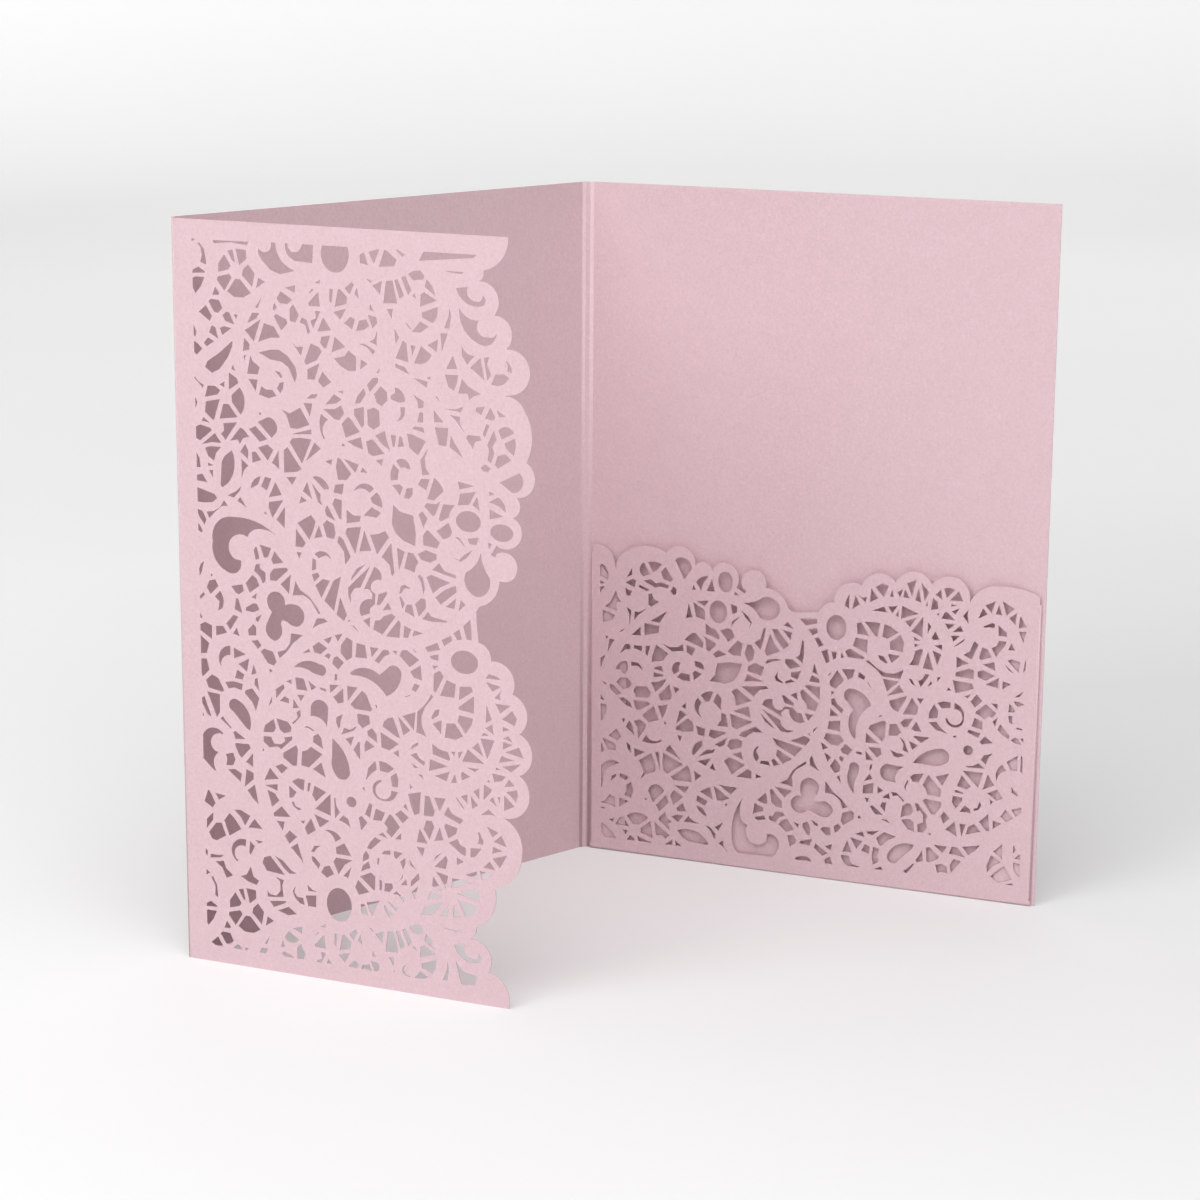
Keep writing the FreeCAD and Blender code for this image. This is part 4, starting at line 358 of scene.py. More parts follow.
# horseshoe and three-lobed hole, left of centre
HORSESHOE_AND_TREFOIL = """
5.3 115 6.7 114.6 7.7 112.6 7.1 111.2 5.8 112.9 5.3 114
5.5 111.6 6.6 109.7 6.2 109.2 5.3 109.7 5.3 111
26.7 110.5 (24.4 111.4 22.3 111.5) (20.2 110.9 18.9 109.2) (13.9 107.5 15.3 103.6) 17 103.4
  (16 100.4 14 99.9) (10.1 102.6 9.3 107.5) (10.7 112.3 15.1 113.9) (21 113.4 26.7 110.5)
21.1 107.2 21.5 107 22.2 104.4 21.1 103.9 20.6 106.2
22.3 107.8 25.4 107.2 24.5 104.8 23.4 104.6
26.3 106.5 28.7 103.9 25.9 103.3 25.4 104.4
26 102.2 29.5 102.8 30 102.2 26.7 99.2 24.9 99.2 25 101
30.7 101.3 30.1 96.3 27.8 98.5
22.2 103 22.2 101.9 23.8 101 23.7 98.9 22.9 98.2 22.2 99.8 20.6 101.1 21.1 102.8
20.1 100.1 21.3 99.3 22 97.6 19.2 95.6 18.2 97.9
14.2 96.8 17.3 97.5 17.7 95.9 16.3 94.9 15.4 95.1
21.2 95.7 21 94.1 19.7 94.5
20.2 93.1 21.2 93.1 21.9 91.6 20.1 90.8 18.1 91 18.2 91.9
15.4 93.9 16.1 93.8 17.2 90.2 15 91
22.5 90.6 21.5 88.5 20.8 88.7 20.9 89.6
20.1 87.9 20.9 87.2 20.9 85.1 18.8 84.9 18.6 86.4
19.5 83.7 21.3 84.1 22.3 82.8 21.2 81.8
22 81.3 23 82.1 25.4 81.6 26.4 79.1 25.6 78.1 23.9 78.5
24.4 77.3 25.3 76.8 24.4 76.2
6.7 102.2 6.1 99.7 5.4 98.4 5.3 100.2 5.8 101.5
8.1 97.6 9.8 98 10.6 96.4 8.3 94.2 7.3 95.8
6.5 94.6 6.8 93.9 5.5 92.7 5.3 93.4
11 95.3 (12 92.9 11.5 90.9) 10.4 90.3 10.8 92.5 9.5 93.7
5.4 89.3 6 88 5.3 88
5.3 86.4 6.7 87.1 8.6 86.4 8.5 82.9 5.3 84.8
9.7 86.4 11.7 86.6 12.8 85 9.7 84
14.6 89.7 16 89.3 13.6 85.7 12.6 87.3
15.5 86.6 16.3 84.4 14.4 84.9
5.3 83.7 7.7 81.9 6.9 79.2 5.3 79.1
13.6 81.8 13.6 79.4 (11.7 78.8 11.1 76.2) (10.5 79.6 13.6 81.8)
14.5 81.5 17.9 80.1 14.6 78.8
18.8 79.2 18.1 75.7 15.7 77.5
19.9 77.9 20.8 75.7 19.3 75.1
28.9 93.5 (26.3 96.6 24 93.9) (24.5 92.4 25.3 91.4) (24.6 90 24 88.7)
  (23.7 86.2 25.9 84.3) (28 86.4 27.7 88.6) 28.1 89.7 29.3 89.4
  (30.7 88.6 31.9 88.4) (34.2 91.1 31.9 93.9) (30.4 93.9 28.9 93.5)
30.5 86.7 33.8 86.6 31 84.3 29.2 81.9 27.2 80.1 26.6 81.6 28.8 82.4 30.2 84.3
31.9 99.8 33.1 97.7 35.7 96.2 37.4 94.3 38.7 92.3 38 92.2 36 95.3 34 96.4 31.1 96.1
32.4 106.9 33.7 106.9 33 105.2
32.3 112.6 34.9 109.3 34.1 108.1 32.1 108.2
32.7 114 36.4 116.3 37.6 114.8 37 112.7 35.9 110.1
38.5 114 39.5 111.2 37.2 110.7
39.6 114.3 40.7 115.4 42.5 114.6 43 112.4 42.5 110.9 40.6 111.2
43.9 111.9 45 111.2 47 107.1 45.5 105 45.2 108 43.4 110.3
46.1 114 49.8 114.6 48.2 107.9 45.6 112.7
50.7 113.8 52.5 109.1 49.3 108.6
52.2 112.9 54.5 113.3 56.2 114.2 57.2 112.7 54 108.3
57.8 111.5 58.6 104.2 57.9 103.4 57.3 106 55.2 107.8
59.3 110.5 61.4 109.6 59.8 105
58.4 120.7 60.2 119.2 63.6 118.5 64.3 114.5 64.1 111.2 61 112.2 59 113.8 58 116
62.2 109.6 63.6 109.5 64.9 107.5 64.3 106.4 63.9 104.8 61.2 105.6
67.3 115.5 69.1 114 70.6 112.6 69.8 111.2 66.3 111.6 66.2 114
64.8 109.5 67 110.6 69.7 109.8 69.7 108.5 67.9 107.6 65.6 108.1
70.4 107.8 71.7 106 74.8 105.2 74.7 104.5 71.5 105.1 68.5 106
68.3 104.8 73.3 103.3 70.6 101.9 68.7 100.3 67 104.1
74.7 102.8 74.9 101.2 70.7 97.8 69.3 99.4 72 101.6
74.8 99.8 74.3 97.1 72 97.4
76 99.5 77.2 98.4 75.4 96.7
81.2 111.2 (81.8 108.4 83.4 105.5) (82.9 102 80.2 100.5) (77.3 102.8 77.4 106.3) (79.9 108.4 81.2 111.2)
74.3 114.5 75.8 114.3 77.3 112.2 76.6 112.7 75.6 113.7
74.1 109.4 75.6 109 77.2 110.6 79.1 111.7 77.6 109.7 76 108.6
"""

# centre: small wheels, a swirl and bars
HEART_OF_THE_FLAP = """
37.2 106.8 (39.6 107.7 41.7 106) 40.2 106.8 38.3 105.9
36.7 105.8 37.6 105.4 37.6 103.2 36.4 102.7
36.4 101.8 37.9 102.4 38.6 101.6 37 100
39.4 101 41.3 100.7 38.9 96.3 37.3 99.2
44.3 102.1 42.3 93.3 39.7 95.6 42.3 100.9
44 97 45.8 92.8 44.9 91.1 43 92.5
46.6 91.8 46.5 91.1 45.9 91.3
46.8 90.4 47.7 90.3 48.9 88.9
50.9 105.7 47 101.4 47.2 102.4 48.6 104.4
52.1 105.3 49.5 99.8 47.9 99.5 46.9 98 46.9 95.8 46.2 97.5 46.2 99.6
53.2 105.2 (54.9 104 55 102.1) (52.7 101.4 52.4 99.4) 53.5 98.7 53.3 96.2
  52 95 51.9 93.7 49.6 92.9 (49.6 95.9 52.6 97.3) 52.7 98.6 51.5 99.7 50.4 99.5
56.6 99.6 56.4 98.6 54.6 96 53.8 96.1 54.3 98.7
56.8 97 57.7 95.3 55.4 94.9
57.7 94.3 58.8 93.7 55.2 88.9 52.8 89.9 53.3 92.2 54.6 92.4 55.8 93.6
52.1 92.9 51.8 90.3 50.1 91.9
59.6 93 60.1 92.2 59.8 88.6 56.1 88.6
61.1 91.8 62.9 91 62 88.8 60.8 88.8
63.7 90.9 66.2 90.4 63.2 89.3
59.8 99.4 60.3 101.4 61.4 101.7 62.9 100.9 61.2 100.8 60.2 99.4
59.8 98.7 60.4 98.6 61.2 97.1 60.6 95.8
61.8 97 63.2 97 63.8 94.1 61.2 95.2
65.2 104.5 66.1 103.8 66.6 101.2 66.2 99.8 65.7 102.4 64.8 104.1
65.6 98.9 66.7 98.7 66.8 96.6 65 94.3 64 97.3
67.4 95.8 68.2 94.7 72.6 94 72 93.6 68.4 93.4 65.9 93.8
"""

# rings round the narrow neck of the free edge
NARROW_NECK = """
78.4 95 78.7 93 78.8 90 77.5 90 76.6 93.2
75.6 92.4 76.3 90 75 89.7 74 91.2
73.4 90.6 73.7 89.4 71.6 87.9 70.9 89.3
69.8 88.5 70.6 86.8 67.2 86 66.6 87.1
67.7 85.1 70.1 85.7 70 84.1 68.3 84.3
68.4 82.9 70.1 82.9 68.8 81.9
70.4 81.8 71.4 80.5 69.3 76.2 68.7 76.6 68.8 80.9
72.2 79.7 74.6 78.9 74.2 75.5 70.4 75.6
75.6 78.5 78.6 78.8 79.1 77.6 75.4 75.1
83.3 82.4 85.2 82 86.6 81.2 82.4 81.2
82.5 80.3 86.4 79.6 84.1 78.2
86.6 78.8 86 77.5 86.3 76.3 84.7 76.7
60.4 85.7 61.7 85.9 65 83.8 62.4 81.7 59.7 84.2
65.4 82.6 65.7 78.8 63.4 79.3 62.6 80.7
63.6 77.9 65.1 77.6 64 75.8 62.9 76.2
37.6 91.1 39.5 91.3 40.6 90.6 38 89.6 36.4 88.5
39.3 86.1 41.6 87.1 41.3 86 40.6 85.1
42.4 87.5 44.6 88.1 43.2 85.9
38.1 85.4 40.3 84 38.4 82.3 36.8 82.6 36.3 84.1
35.3 83.4 35.8 82.6 33.5 82.1
40.5 82.9 41.3 82.5 40.7 81.3 39.5 82
45.6 87.3 47.2 86.6 47 82.5 45.5 81.5 43.9 83.2 44.1 85.3
48.3 86.2 50.5 85.9 51.1 82.6 47.9 82.6
51.9 85.6 54.2 85.5 52.3 83.1
55.4 85.3 56.8 85.3 57.2 84.4 55.6 83.6 54.2 81.7 53 82.3
57.9 85.3 59.2 85.4 58.8 84.3
43 82.4 44.8 81 43.2 79 41.6 80.3 42 81.9
42.4 78 43 77.8 42.9 76.3 42.1 76.3
31.1 78.4 (34.5 80.3 38.2 79.8) (39.9 78.5 38.2 77) (36.4 77.4 35 78.1) 33 78.5
"""

# loops and a wheel, lower left
LOOPS = """
5.3 77.8 6.9 77.9 7.6 75.2 5.6 73.2 5.3 74
8.3 74.1 10.1 73.3 11.6 70.4 11 69.9 7.2 70.6 6.5 72.5
6.8 69.6 10.4 69.3 10.3 64.8 9.4 63.3
6 68.4 7.9 63.4 6.9 63.6 5.3 66.4 5.3 67.9
5.4 64.3 5.8 63.5 5.4 63
11.9 72.6 14.3 73 16.9 72.6 16.5 70.9 14.4 71.4 12.8 71
15.4 76 17.4 75 16.8 73.6 14.7 73.8
17.6 71.1 19.5 71.8 21.4 69.5 20.4 66.1 19.4 68.2 17.4 70.2
21 74.6 20.3 74.2 20.1 72.8 21.5 71.1
18.6 61 (18.6 65 14.9 68.6) (13 67.6 14 65.3) 17.6 61.5
11.1 63.9 11.7 63 13.5 61.2 13.2 60.9 10.4 63.1
14.5 60.5 17.4 58.7 14.5 58.4 13.9 60
5.3 58.4 (7.3 60.4 11.1 59.5) 11 59.1 (7.8 57.9 8.7 54.8) 9.7 54.5 (8.3 52.2 9.1 49.6) 8.1 49.8 5.3 52.3
11.7 54.3 13.8 54.9 14.4 53.2 13.7 51.6 11.8 51.4 12 53.2
14.4 57.4 18.3 57.6 18.7 56.6 16.1 53.8 15.5 54.3 14.4 56.6
19.4 55.5 19.3 51.8 17.3 52.9
17.4 51.1 19.4 50.4 19.4 48.8 16.8 46.5
12.1 50.4 14.2 50.8 16.1 49.8 15.7 47.6
19.7 47.5 20.7 42.5 19.2 43.6 17.6 45.7
24.9 70.5 24.9 68.9 24 68
28.1 73.8 28.5 72.9 26.1 70 26 72.3
28.4 70.8 29.6 70.4 29.7 69.1 27 69.5
28.9 74.6 30.4 75.3 30.4 74
31.4 75.9 33.8 75.8 34.8 72.8 31.8 72.9
25.3 64.8 25.9 62.5 25.1 61.3 22.4 61.1 22.8 62.9
26 65 29.2 64.5 30.2 63.2 30 62.1 28.1 61.4 27 62.1
22.4 60.1 24.5 60.2 25.3 58.6 27.2 58.6 28.4 59.6 28.1 60.4
  30.3 61 30.4 60.2 27.2 57.3 26.1 57.9 24 57.4 22.4 58.6
22.2 57.1 22.6 56.5 22 56.2
31.4 58.9 31.9 58 31.5 53.7 30.4 53.5 27.8 55.2 27.8 56.5
27.5 53.7 29 52.8 27.2 51.1 25.5 52.9
24 52.3 26.5 49.7 22.4 49
22.5 47.7 26.1 48.4 26 46.6
23.2 46.6 25.4 45.9 26.5 44.2 24.4 42.4
27.1 42.9 29.6 40.4 25 40 24.8 40.9
29.3 48.4 31.3 47 30.3 45.5 29.3 45.3
30 49.5 31.7 50.6 33.6 50.4 33.3 47.6 32.3 47.8
29.9 44.4 30.6 44.5 30.9 43.5 32.8 42.8 31.6 42.4 30.4 43.2
32.1 39.8 33.6 40.1 33.1 39.1
6.4 44.5 7 44.2 8.5 41.4 7.6 40 5.3 41.4
8.4 44 11.5 43.6 9.4 42.3
"""

# drop, open swirl and boot, lower middle
DROP_AND_SWIRL = """
30.9 70.4 32.4 68.4 30.7 68
32.7 67.9 32.8 66.3 30.8 64.1 30.3 64.3 32 65.9 31.6 67.2
31.9 71.6 33.9 71.7 32.9 70
35 75.5 37.2 74 35.8 73.1
38.1 74.1 39.7 73.9 39.9 73.2 38.4 73.5
40.8 75.1 43.4 75.3 41 73
44.5 74.6 44.6 71.1 43 70.6 41.8 72.1
45.6 75.3 48.4 75.2 45.7 71.5
49.6 74.6 50.7 73.9 52.3 70.2 51.8 69.6 47.5 69.8 46.4 70.8
46.3 78.5 (50.1 80.3 54.3 79) 56.5 80.8 (59.3 81.4 60.2 79.3) (59.1 76.3 56.1 73.9) (52.6 77 47 78.1)
35.5 66.6 35.6 68.9 (37.8 71 40.4 69.1) 40 64.3 (38.3 66.2 35.5 66.6)
44.4 68.2 43.7 66.5 43.6 64.9 43.1 64.3 42.4 66 42.6 67.2
48.2 68.8 51.4 68.6 51.7 66.6 49.5 65.2 48.4 66.4
48.2 65.7 47.3 64.4 43.9 63 44.6 64.8 46.3 64.5
47.3 63 46.4 60.4 44.9 62.1
48.5 61.8 48.9 61.6 48.9 57.3 48.3 57.9 47.1 59.6
52.1 65.6 53.4 64.3 53.6 62 51.1 63.5 50.9 64.7
50.7 62.4 52.9 61.1 50.2 59.5 50.1 61.4
54.5 64.9 59.4 62.5 56.8 60.6 54.7 61
57.9 68.9 59.8 63.9 58.6 64.2 55 66.3 55.5 67.7 56.6 68.6
59.2 69.4 62.5 66.2 60.6 64.8
60.4 69.6 63.9 70.9 63.4 66.2
64.6 63.6 64.4 62.7 62.5 61.6 63.2 62.8
62.4 60.2 64.1 60.9 64.8 59.7 66.3 58.9 66.1 57.8 64.3 58.9
62.8 58.2 64.5 57.3 63.6 57
64.4 55.6 65.5 55.6 65.9 54.5
59.3 61.1 59.4 59.2 57.8 60.1
41.4 61.8 (45.3 57.2 46.1 53.7) (44.4 51.7 42 52.8) (41.2 54.6 41.2 57)
37.5 62.5 38.4 61.4 38.8 58.7 36.1 60.1 36.2 61.8
33.5 63.6 34.6 64.1 36.6 63.2 36.1 62.9 34.8 63.6
33 57.5 34.5 58 35.5 59 38.6 57.4 34.8 53.6 32.7 53.9
38.3 55.4 39.5 51.5 35.9 53.4
34.5 49.8 35.3 49.8 34.8 47.6 34.3 47.5
36.3 49.3 39.5 48 36.6 45.3 35.6 46.8
40.7 47.8 40.7 42.1 36.4 43.4
42 47 42.3 44.9 43.2 43.4 41.8 41.6 41.7 46.8
44.1 42.8 45.5 42 46.1 39.6 45.2 40.5 42.9 41.4
36.1 42.1 40.3 40.8 37.6 38.8
49.1 43.3 50.7 41.8 49 39.6 48.3 42.7
51.3 46.8 52.1 46.4 51.4 43 50 43.8
53 45.6 55.5 44.9 54.6 42.6 52.2 42.6
56.7 44.7 57.4 44.4 59.5 41.8 57.2 38.8 55.8 40 56.2 41.1 55.2 42.1
59.8 46.1 61.9 44.5 60.2 42.8 58.2 44.9
61.1 47.9 61.9 46 60.5 47
54.8 39.9 56.3 38.4 53.6 39.1
59.8 40.4 59.8 38.6 58.2 38.6
49.9 50.8 50.1 49.6 49.4 50.2
53 57.6 53.4 55.4 51.9 54.3 50.4 52.4 51.1 55.6
54 57.7 55.9 57.5 58.1 56.2 56.3 54.9 54.3 55.2
58.6 55.3 59.2 53.6 59 51.6 57.5 51.6 57.1 54.1
54.6 53 (52.2 50.3 55 47.8) (57.6 48.4 59 50.5) 57.2 50.6 (53.3 49.2 54.6 52.4)
62.2 52.9 63.1 52.3 62.3 51.6
61.7 50.4 65.2 51.3 64.8 45.9 63.4 45.3 62.7 46.9
"""

# ladders along the free edge, lower right
EDGE_LADDERS = """
66.3 50.6 67.5 50.5 68.9 46.8 68.4 45.5 65.9 45.5
68.7 50.4 71.8 50.5 70.2 47
72.4 48.6 73.5 46.9 76.5 45.8 75.5 44.5 71.3 46.3
71.8 44.3 74.9 43.5 74.5 42 72.4 40.7 71.4 43.6
66.6 44.4 68.1 44.5 68.7 43 67.4 39.6 65.8 42.1
70.2 43.2 71.2 40 68.7 39.5
64.8 42.2 67 38.6 64 38.6
80.7 43.4 81.8 41.1 81.6 40.2 80.3 40.4 80.6 41.8 80.3 43.1
82.7 45 85.7 43.8 84.1 42.4
86.5 43.2 87.9 40.4 84.4 41.4
84.3 40.2 86.9 39.4 84.1 38.4
83.1 49.3 85 47.8 83.6 48 81.1 47.6
74.5 51.4 77 48.4 76.3 48.6 74.9 50.4
77.5 52.3 77.6 49.8 75.8 51.6
78.4 52 80.4 49.9 78.8 48.9
80.7 54.2 80.7 51.3 79.1 53.2
81.9 55.3 83.9 54.3 83.8 53.6 81.8 51.4
83.1 56.6 83.6 55.9 82.7 56
76.3 57.7 78.3 56.7 76.1 55.5 75.8 57.1
74.3 56.9 74.8 54.7 73.2 54.6
72.9 57.3 72 54.7 68.9 55.8
67.7 59.8 72.5 58.5 67.4 56.8
68.3 63.6 70.2 62.5 72.4 62.1 73.1 60.4 72.7 59.9 68.4 61
73.4 62.3 74.4 62.4 74.1 61.1
75.2 62.4 76.4 62.7 75.3 60.7
77.7 63.4 82.1 60.3 76.2 60.2
77.4 58.9 80.6 58.9 79.5 57.9
80.4 65.4 81.8 62 78.8 63.9
81 66.5 84.7 66.4 82.8 61.6
84.1 70.3 84.5 67.6 82.3 69.1
81.8 68 83.3 67.4 81.4 67.1
82.6 74.7 84 71.4 82.4 70.4
84.9 75.4 88.9 75.3 86.2 73.1
89.3 74.1 90.5 72.3 89.9 70.4 86.6 71.7
86.9 70 88.8 69.4 86.9 68.8
88.3 67.9 89.4 66.4 86.9 67.1
87 66.3 89.4 65.8 86.9 64.4
91.1 65.4 92.3 62.8 87.4 63.8
86.5 62.8 90 62 85.9 61.1
91.6 61.4 89 59 86.6 60.2
85.2 59.8 86.4 59.4 85.1 59.2
84.1 58.3 87.6 57.9 86.6 56.6 84.6 56.2
88.5 57.3 90 55.8 87.2 55.3
90.5 54.9 90.8 53.6 90.3 51.8 87.8 54.1
87.2 53.2 90 50.8 87.2 49.4
85.5 52.7 86.2 52.7 86 51
84.2 52.5 85.3 50.2 83.4 51.5
79.3 76.6 79.4 74.5 79.3 72.2 75.4 72.8 75.4 73.5
75.5 71.5 79.1 71 78.6 69.3 77.1 67 75 70
72.1 69.1 74.3 69.3 76.5 66.4 74.5 65.3 71.6 65.5
70.4 69.6 70.9 69.5 70.6 66.2 68.4 68.6
70.3 72.4 70 70.8 68.3 69.6 68.1 70.2 69.1 72
68.1 75.8 68.7 75.2 66.5 72.5 65.5 70 65.5 67.8 66.8 65.1 64.1 65.9 64.4 71.1 65.8 72.4 67.3 74.3
"""

# the band above the bottom, where the lace starts again
LOWER_BAND = """
7.8 38.9 7.7 36.9 5.8 34.5 5.9 37
8.5 36.3 10.1 36.5 11.3 33.3 8.5 31.7 7.2 32 6.4 33.6
12.4 39.3 13.7 38.2 15.7 35.6 12.2 33.4 10.8 37.2
13.6 40.3 15.4 40.5 18.3 39.3 16.7 36.5 15.5 38.6
19.4 38.7 21.7 36.3 17.6 36.2
19.5 33.3 21.8 33.1 20.4 32.4
18.1 32.8 19.4 31.6 18.1 29.1 17.7 29.9
17 33 16.7 31.1 (13.9 30.3 14.7 27.4) 14.2 27.1 (13.2 31.4 17 33)
5.4 29.4 6 28.6 5.8 27.3 5.3 28
6.8 28 9 28 10.7 28.3 9.5 27.4 6.7 27
8 26.2 10.5 26.7 11.1 24.9 13.1 23.3 11.1 22.3 10 24.8
5.5 23.9 6.5 23.1 5.4 22.4
7.3 22.3 8.4 20.2 8.7 16.8 7.8 17.4 7.9 19.9 6.8 22
18.1 26.3 18.9 23.7 20.4 22.9 19.6 21.6 17.2 22.2 15.1 23.4 16.9 24
23.7 29.8 27.8 25.3 22.6 25.7 21.4 27.7 22 29.2
24.9 30 27.2 29 29.5 26.8 31 26.2 29 25.8 27.5 26.9
22.7 20.8 23.4 19.9 25.2 19.7 26.4 21.2 26.3 23.4 25 24.6 27.4 24 26.9 22.6 27.2 19.6 24.5 19.2 22.8 19.1
23.3 18.1 27.9 18.7 27.8 18.2 24.4 16.6
25.5 15.9 28.6 17.3 30.9 15.7 28.3 15
30.6 23 30.3 21.3 31.1 20.2 32.7 20.2 33.1 18.3 31.7 18.6 30.4 19.8 29.8 21.5
33.9 23.8 35.2 22.7 36.7 22.3 34.2 22.1
33.4 20.9 36.4 21.3 36.3 18.2 34.1 18.2
48 26.9 51.1 24.2 48.1 23.1 47.1 25
48.4 27.9 51.5 29.3 52.7 28.4 52.6 24.9 52 24.9
53.8 27.8 54.6 27.6 54.4 25.1 53.8 25.1
55.3 27.1 57.3 27.3 57.5 26.1 56.4 24.9 55.1 25
50.2 21.5 53.8 22.4 51.7 18.1
55 21.6 57.3 19.5 56.4 18.5 55.1 20.4
55.8 22.6 58.7 21.3 58.2 20.4
57.4 24.6 58.4 25.5 60.6 23.8 60.4 23 58.8 24.6
31.4 34 33 29 32.2 29.9 29.5 32.7
29.2 37 31.3 35.6 29 33.5 27.8 35.4
25.6 39 27.9 39.1 27.3 36.6
35.2 40.9 36.5 38 34.2 36.5 33.4 38.2
38.8 38.3 (41.3 38.4 43.4 36.8) 41.8 35.7 (40.8 37.4 38.8 38.3)
44.3 35.7 46.3 32.6 42.1 32.7 42 34.4
42 31.8 46.5 31.7 44.3 30.2 42.6 27.5 41.2 30.6
46.2 30 45.3 27 43.9 27.3
37.8 34.2 36.7 33.5 36 32.4 35.1 32.3 36 34
35.2 31.3 36.1 31.1 37.6 29.5 37.1 28.1 35.4 30
38.6 29 40.2 29.5 41.4 27.5 39.3 26.2 37.8 27.4
52.7 38.4 54.4 37.7 51.4 35 50.5 35.3 51.4 37
50.2 34.7 51.1 33.6 50.9 32.7 49.3 31.7 49.4 33.4
50.9 32 51.4 30.4 48.8 29.2 49.3 30.8
55 35.2 56.8 35.6 56.9 34.4 54.5 34.3
57.8 35.6 60.2 35.3 58.4 33.6 57.8 34.1
60.9 34.3 60.9 32.6 60.2 31.2 59.5 33.1
62 34 63.8 31.6 62.2 32.5
60.2 30.1 60.1 29 58 27.2 59.6 28.7
61.1 28.9 61.3 27.3 59.6 27.2
64.4 30.9 64.7 29.4 62.3 27.1 62.3 28.5
64.3 27.6 63.4 24.2 62.5 25.8
53.4 33.2 53.9 33.2 53.6 31.5 53.2 31.6
63.9 37.5 66.1 37.4 65.5 35.1
70.8 37 68.4 34.3 69.1 35.8
71.8 36.3 72.3 35.2 71.7 32.8 68.7 33.1
69.1 31.9 72.4 31.3 71.7 28.1 70 30.8
68.4 30.6 70.8 27.3 68 28.1
67.6 26.8 70.8 25.9 66.8 24.5
71.2 24.6 68.1 20.9 64.9 20.4 66.1 22.8
72.4 23.9 72.3 21.1 70.1 20.9
73.9 24.5 75.6 21.4 73.6 21.2
74.8 25.8 80.3 24.6 79.3 22.8 77 21.4
74.5 27.2 80.2 29.1 80.9 25.9
73.5 30.9 79.3 30.5 73.1 28.3
74.7 36.3 76.6 35.4 74.7 34.3
72.5 39.6 74.9 40.9 75.6 39.5 77.1 38.9 77 36.8 75.9 37.1
78.4 39.1 81.3 39.3 79.5 36.9 78.3 36.7
88 38.5 86.1 35 84.1 37.2
83.4 36.4 85 34.3 81.7 34.6
80.8 33.7 84.3 33.3 81.3 31.4
80 33.5 80 31.4 77 32.2
74.3 9.9 76.4 7.7 79.9 7.1 79.5 4.6 75.8 4.3
48.6 20.8 49.6 21 50.8 18.3 48.9 18.6
"""

# Pinholes and slits between the larger cut-outs.
PINHOLES = """
22.75 139.6 22.95 140.05 23.2 139.9 23.4 139.45 22.95 139.35
23.54 115.65 24.31 115.98 24.33 115.1
8.56 99.4 9.22 99.02 8.58 98.6
5.4 108.25 5.65 108.15 5.5 107.9
62 163.75 62.3 163.8 63.5 162.5 63.2 162.4
55.2 152.8 55.1 151.8 54.4 151.5 54.5 151.9
69.7 147.25 69.95 147.3 70.65 146.35 70.4 146.25
61 74.3 62.4 75.05 62.6 74.85 61.2 74.2
53.1 71.55 53.5 71.5 53.75 70.8 53.4 70.7
63.2 86.35 63.55 86.3 64.2 85.6 63.95 85.45
60.5 7 60.8 7 (61 4.7 62 4.4) 62 4.1 (60.6 4.3 60.5 7)
57.55 5.1 57.85 5 57.7 4.7
"""

LACE = (CORNER_WHEEL, TOP_MIDDLE, TOP_CURLS, LEAVES, TWIN_HUBS, OVAL_RINGS,
        HORSESHOE_AND_TREFOIL, HEART_OF_THE_FLAP, NARROW_NECK, LOOPS, DROP_AND_SWIRL,
        EDGE_LADDERS, LOWER_BAND, PINHOLES)

# Oval holes: centre along, centre up, half width, half height.
OVALS = ((43.7, 178.7, 3.7, 4.3), (78.0, 118.35, 3.2, 2.55), (86.6, 116.4, 2.95, 2.1),
         (76.9, 84.5, 3.55, 2.85), (46.4, 46.4, 1.35, 1.35), (42.7, 19.8, 3.45, 4.3))


def round_stretch(a, m, b):
    """Chord ends on the circle from a through m to b, a left out."""
    bx, by, cx, cy = m[0] - a[0], m[1] - a[1], b[0] - a[0], b[1] - a[1]
    d = 2.0 * (bx * cy - by * cx)
    if abs(d) < TINY:
        return [b]
    ux = (cy * (bx * bx + by * by) - by * (cx * cx + cy * cy)) / d
    uy = (bx * (cx * cx + cy * cy) - cx * (bx * bx + by * by)) / d
    centre, radius = (a[0] + ux, a[1] + uy), math.hypot(ux, uy)
    start = math.atan2(-uy, -ux)
    sweep = (math.atan2(b[1] - centre[1], b[0] - centre[0]) - start) % (2.0 * math.pi)
    if d < 0:
        sweep -= 2.0 * math.pi
    count = max(2, round(abs(math.degrees(sweep)) / CHORD))
    return [(centre[0] + radius * math.cos(start + sweep * i / count),
             centre[1] + radius * math.sin(start + sweep * i / count))
            for i in range(1, count)] + [b]


def outline(text):
    """The corners of one outline, its round stretches divided into chords."""
    points, words = [], text.replace("(", "( ").replace(")", "").split()
    while words:
        if words[0] == "(":
            mx, my, bx, by = map(float, words[1:5])
            points += round_stretch(points[-1], (mx, my), (bx, by))
            words = words[5:]
        else:
            points.append((float(words[0]), float(words[1])))
            words = words[2:]
    if math.dist(points[0], points[-1]) < TINY:
        points.pop()
    return points


def outlines(block):
    """One outline a line; a line that starts with spaces goes on with the last."""
    return [outline(line) for line in block.strip().replace("\n  ", " ").splitlines()]


def oval(x, y, rx, ry):
    count = round(360.0 / CHORD)
    turns = [2.0 * math.pi * i / count for i in range(count)]
    return [(x + rx * math.cos(t), y + ry * math.sin(t)) for t in turns]


def cut(points, axis, limit, keep_above):
    """The part of an outline on one side of a straight line."""
    side = 1.0 if keep_above else -1.0
    kept = []
    for i, b in enumerate(points):
        a = points[i - 1]
        da, db = side * (a[axis] - limit), side * (b[axis] - limit)
        if (da < 0.0) != (db < 0.0):
            t = da / (da - db)
            kept.append((a[0] + t * (b[0] - a[0]), a[1] + t * (b[1] - a[1])))
        if db >= 0.0:
            kept.append(b)
    return kept


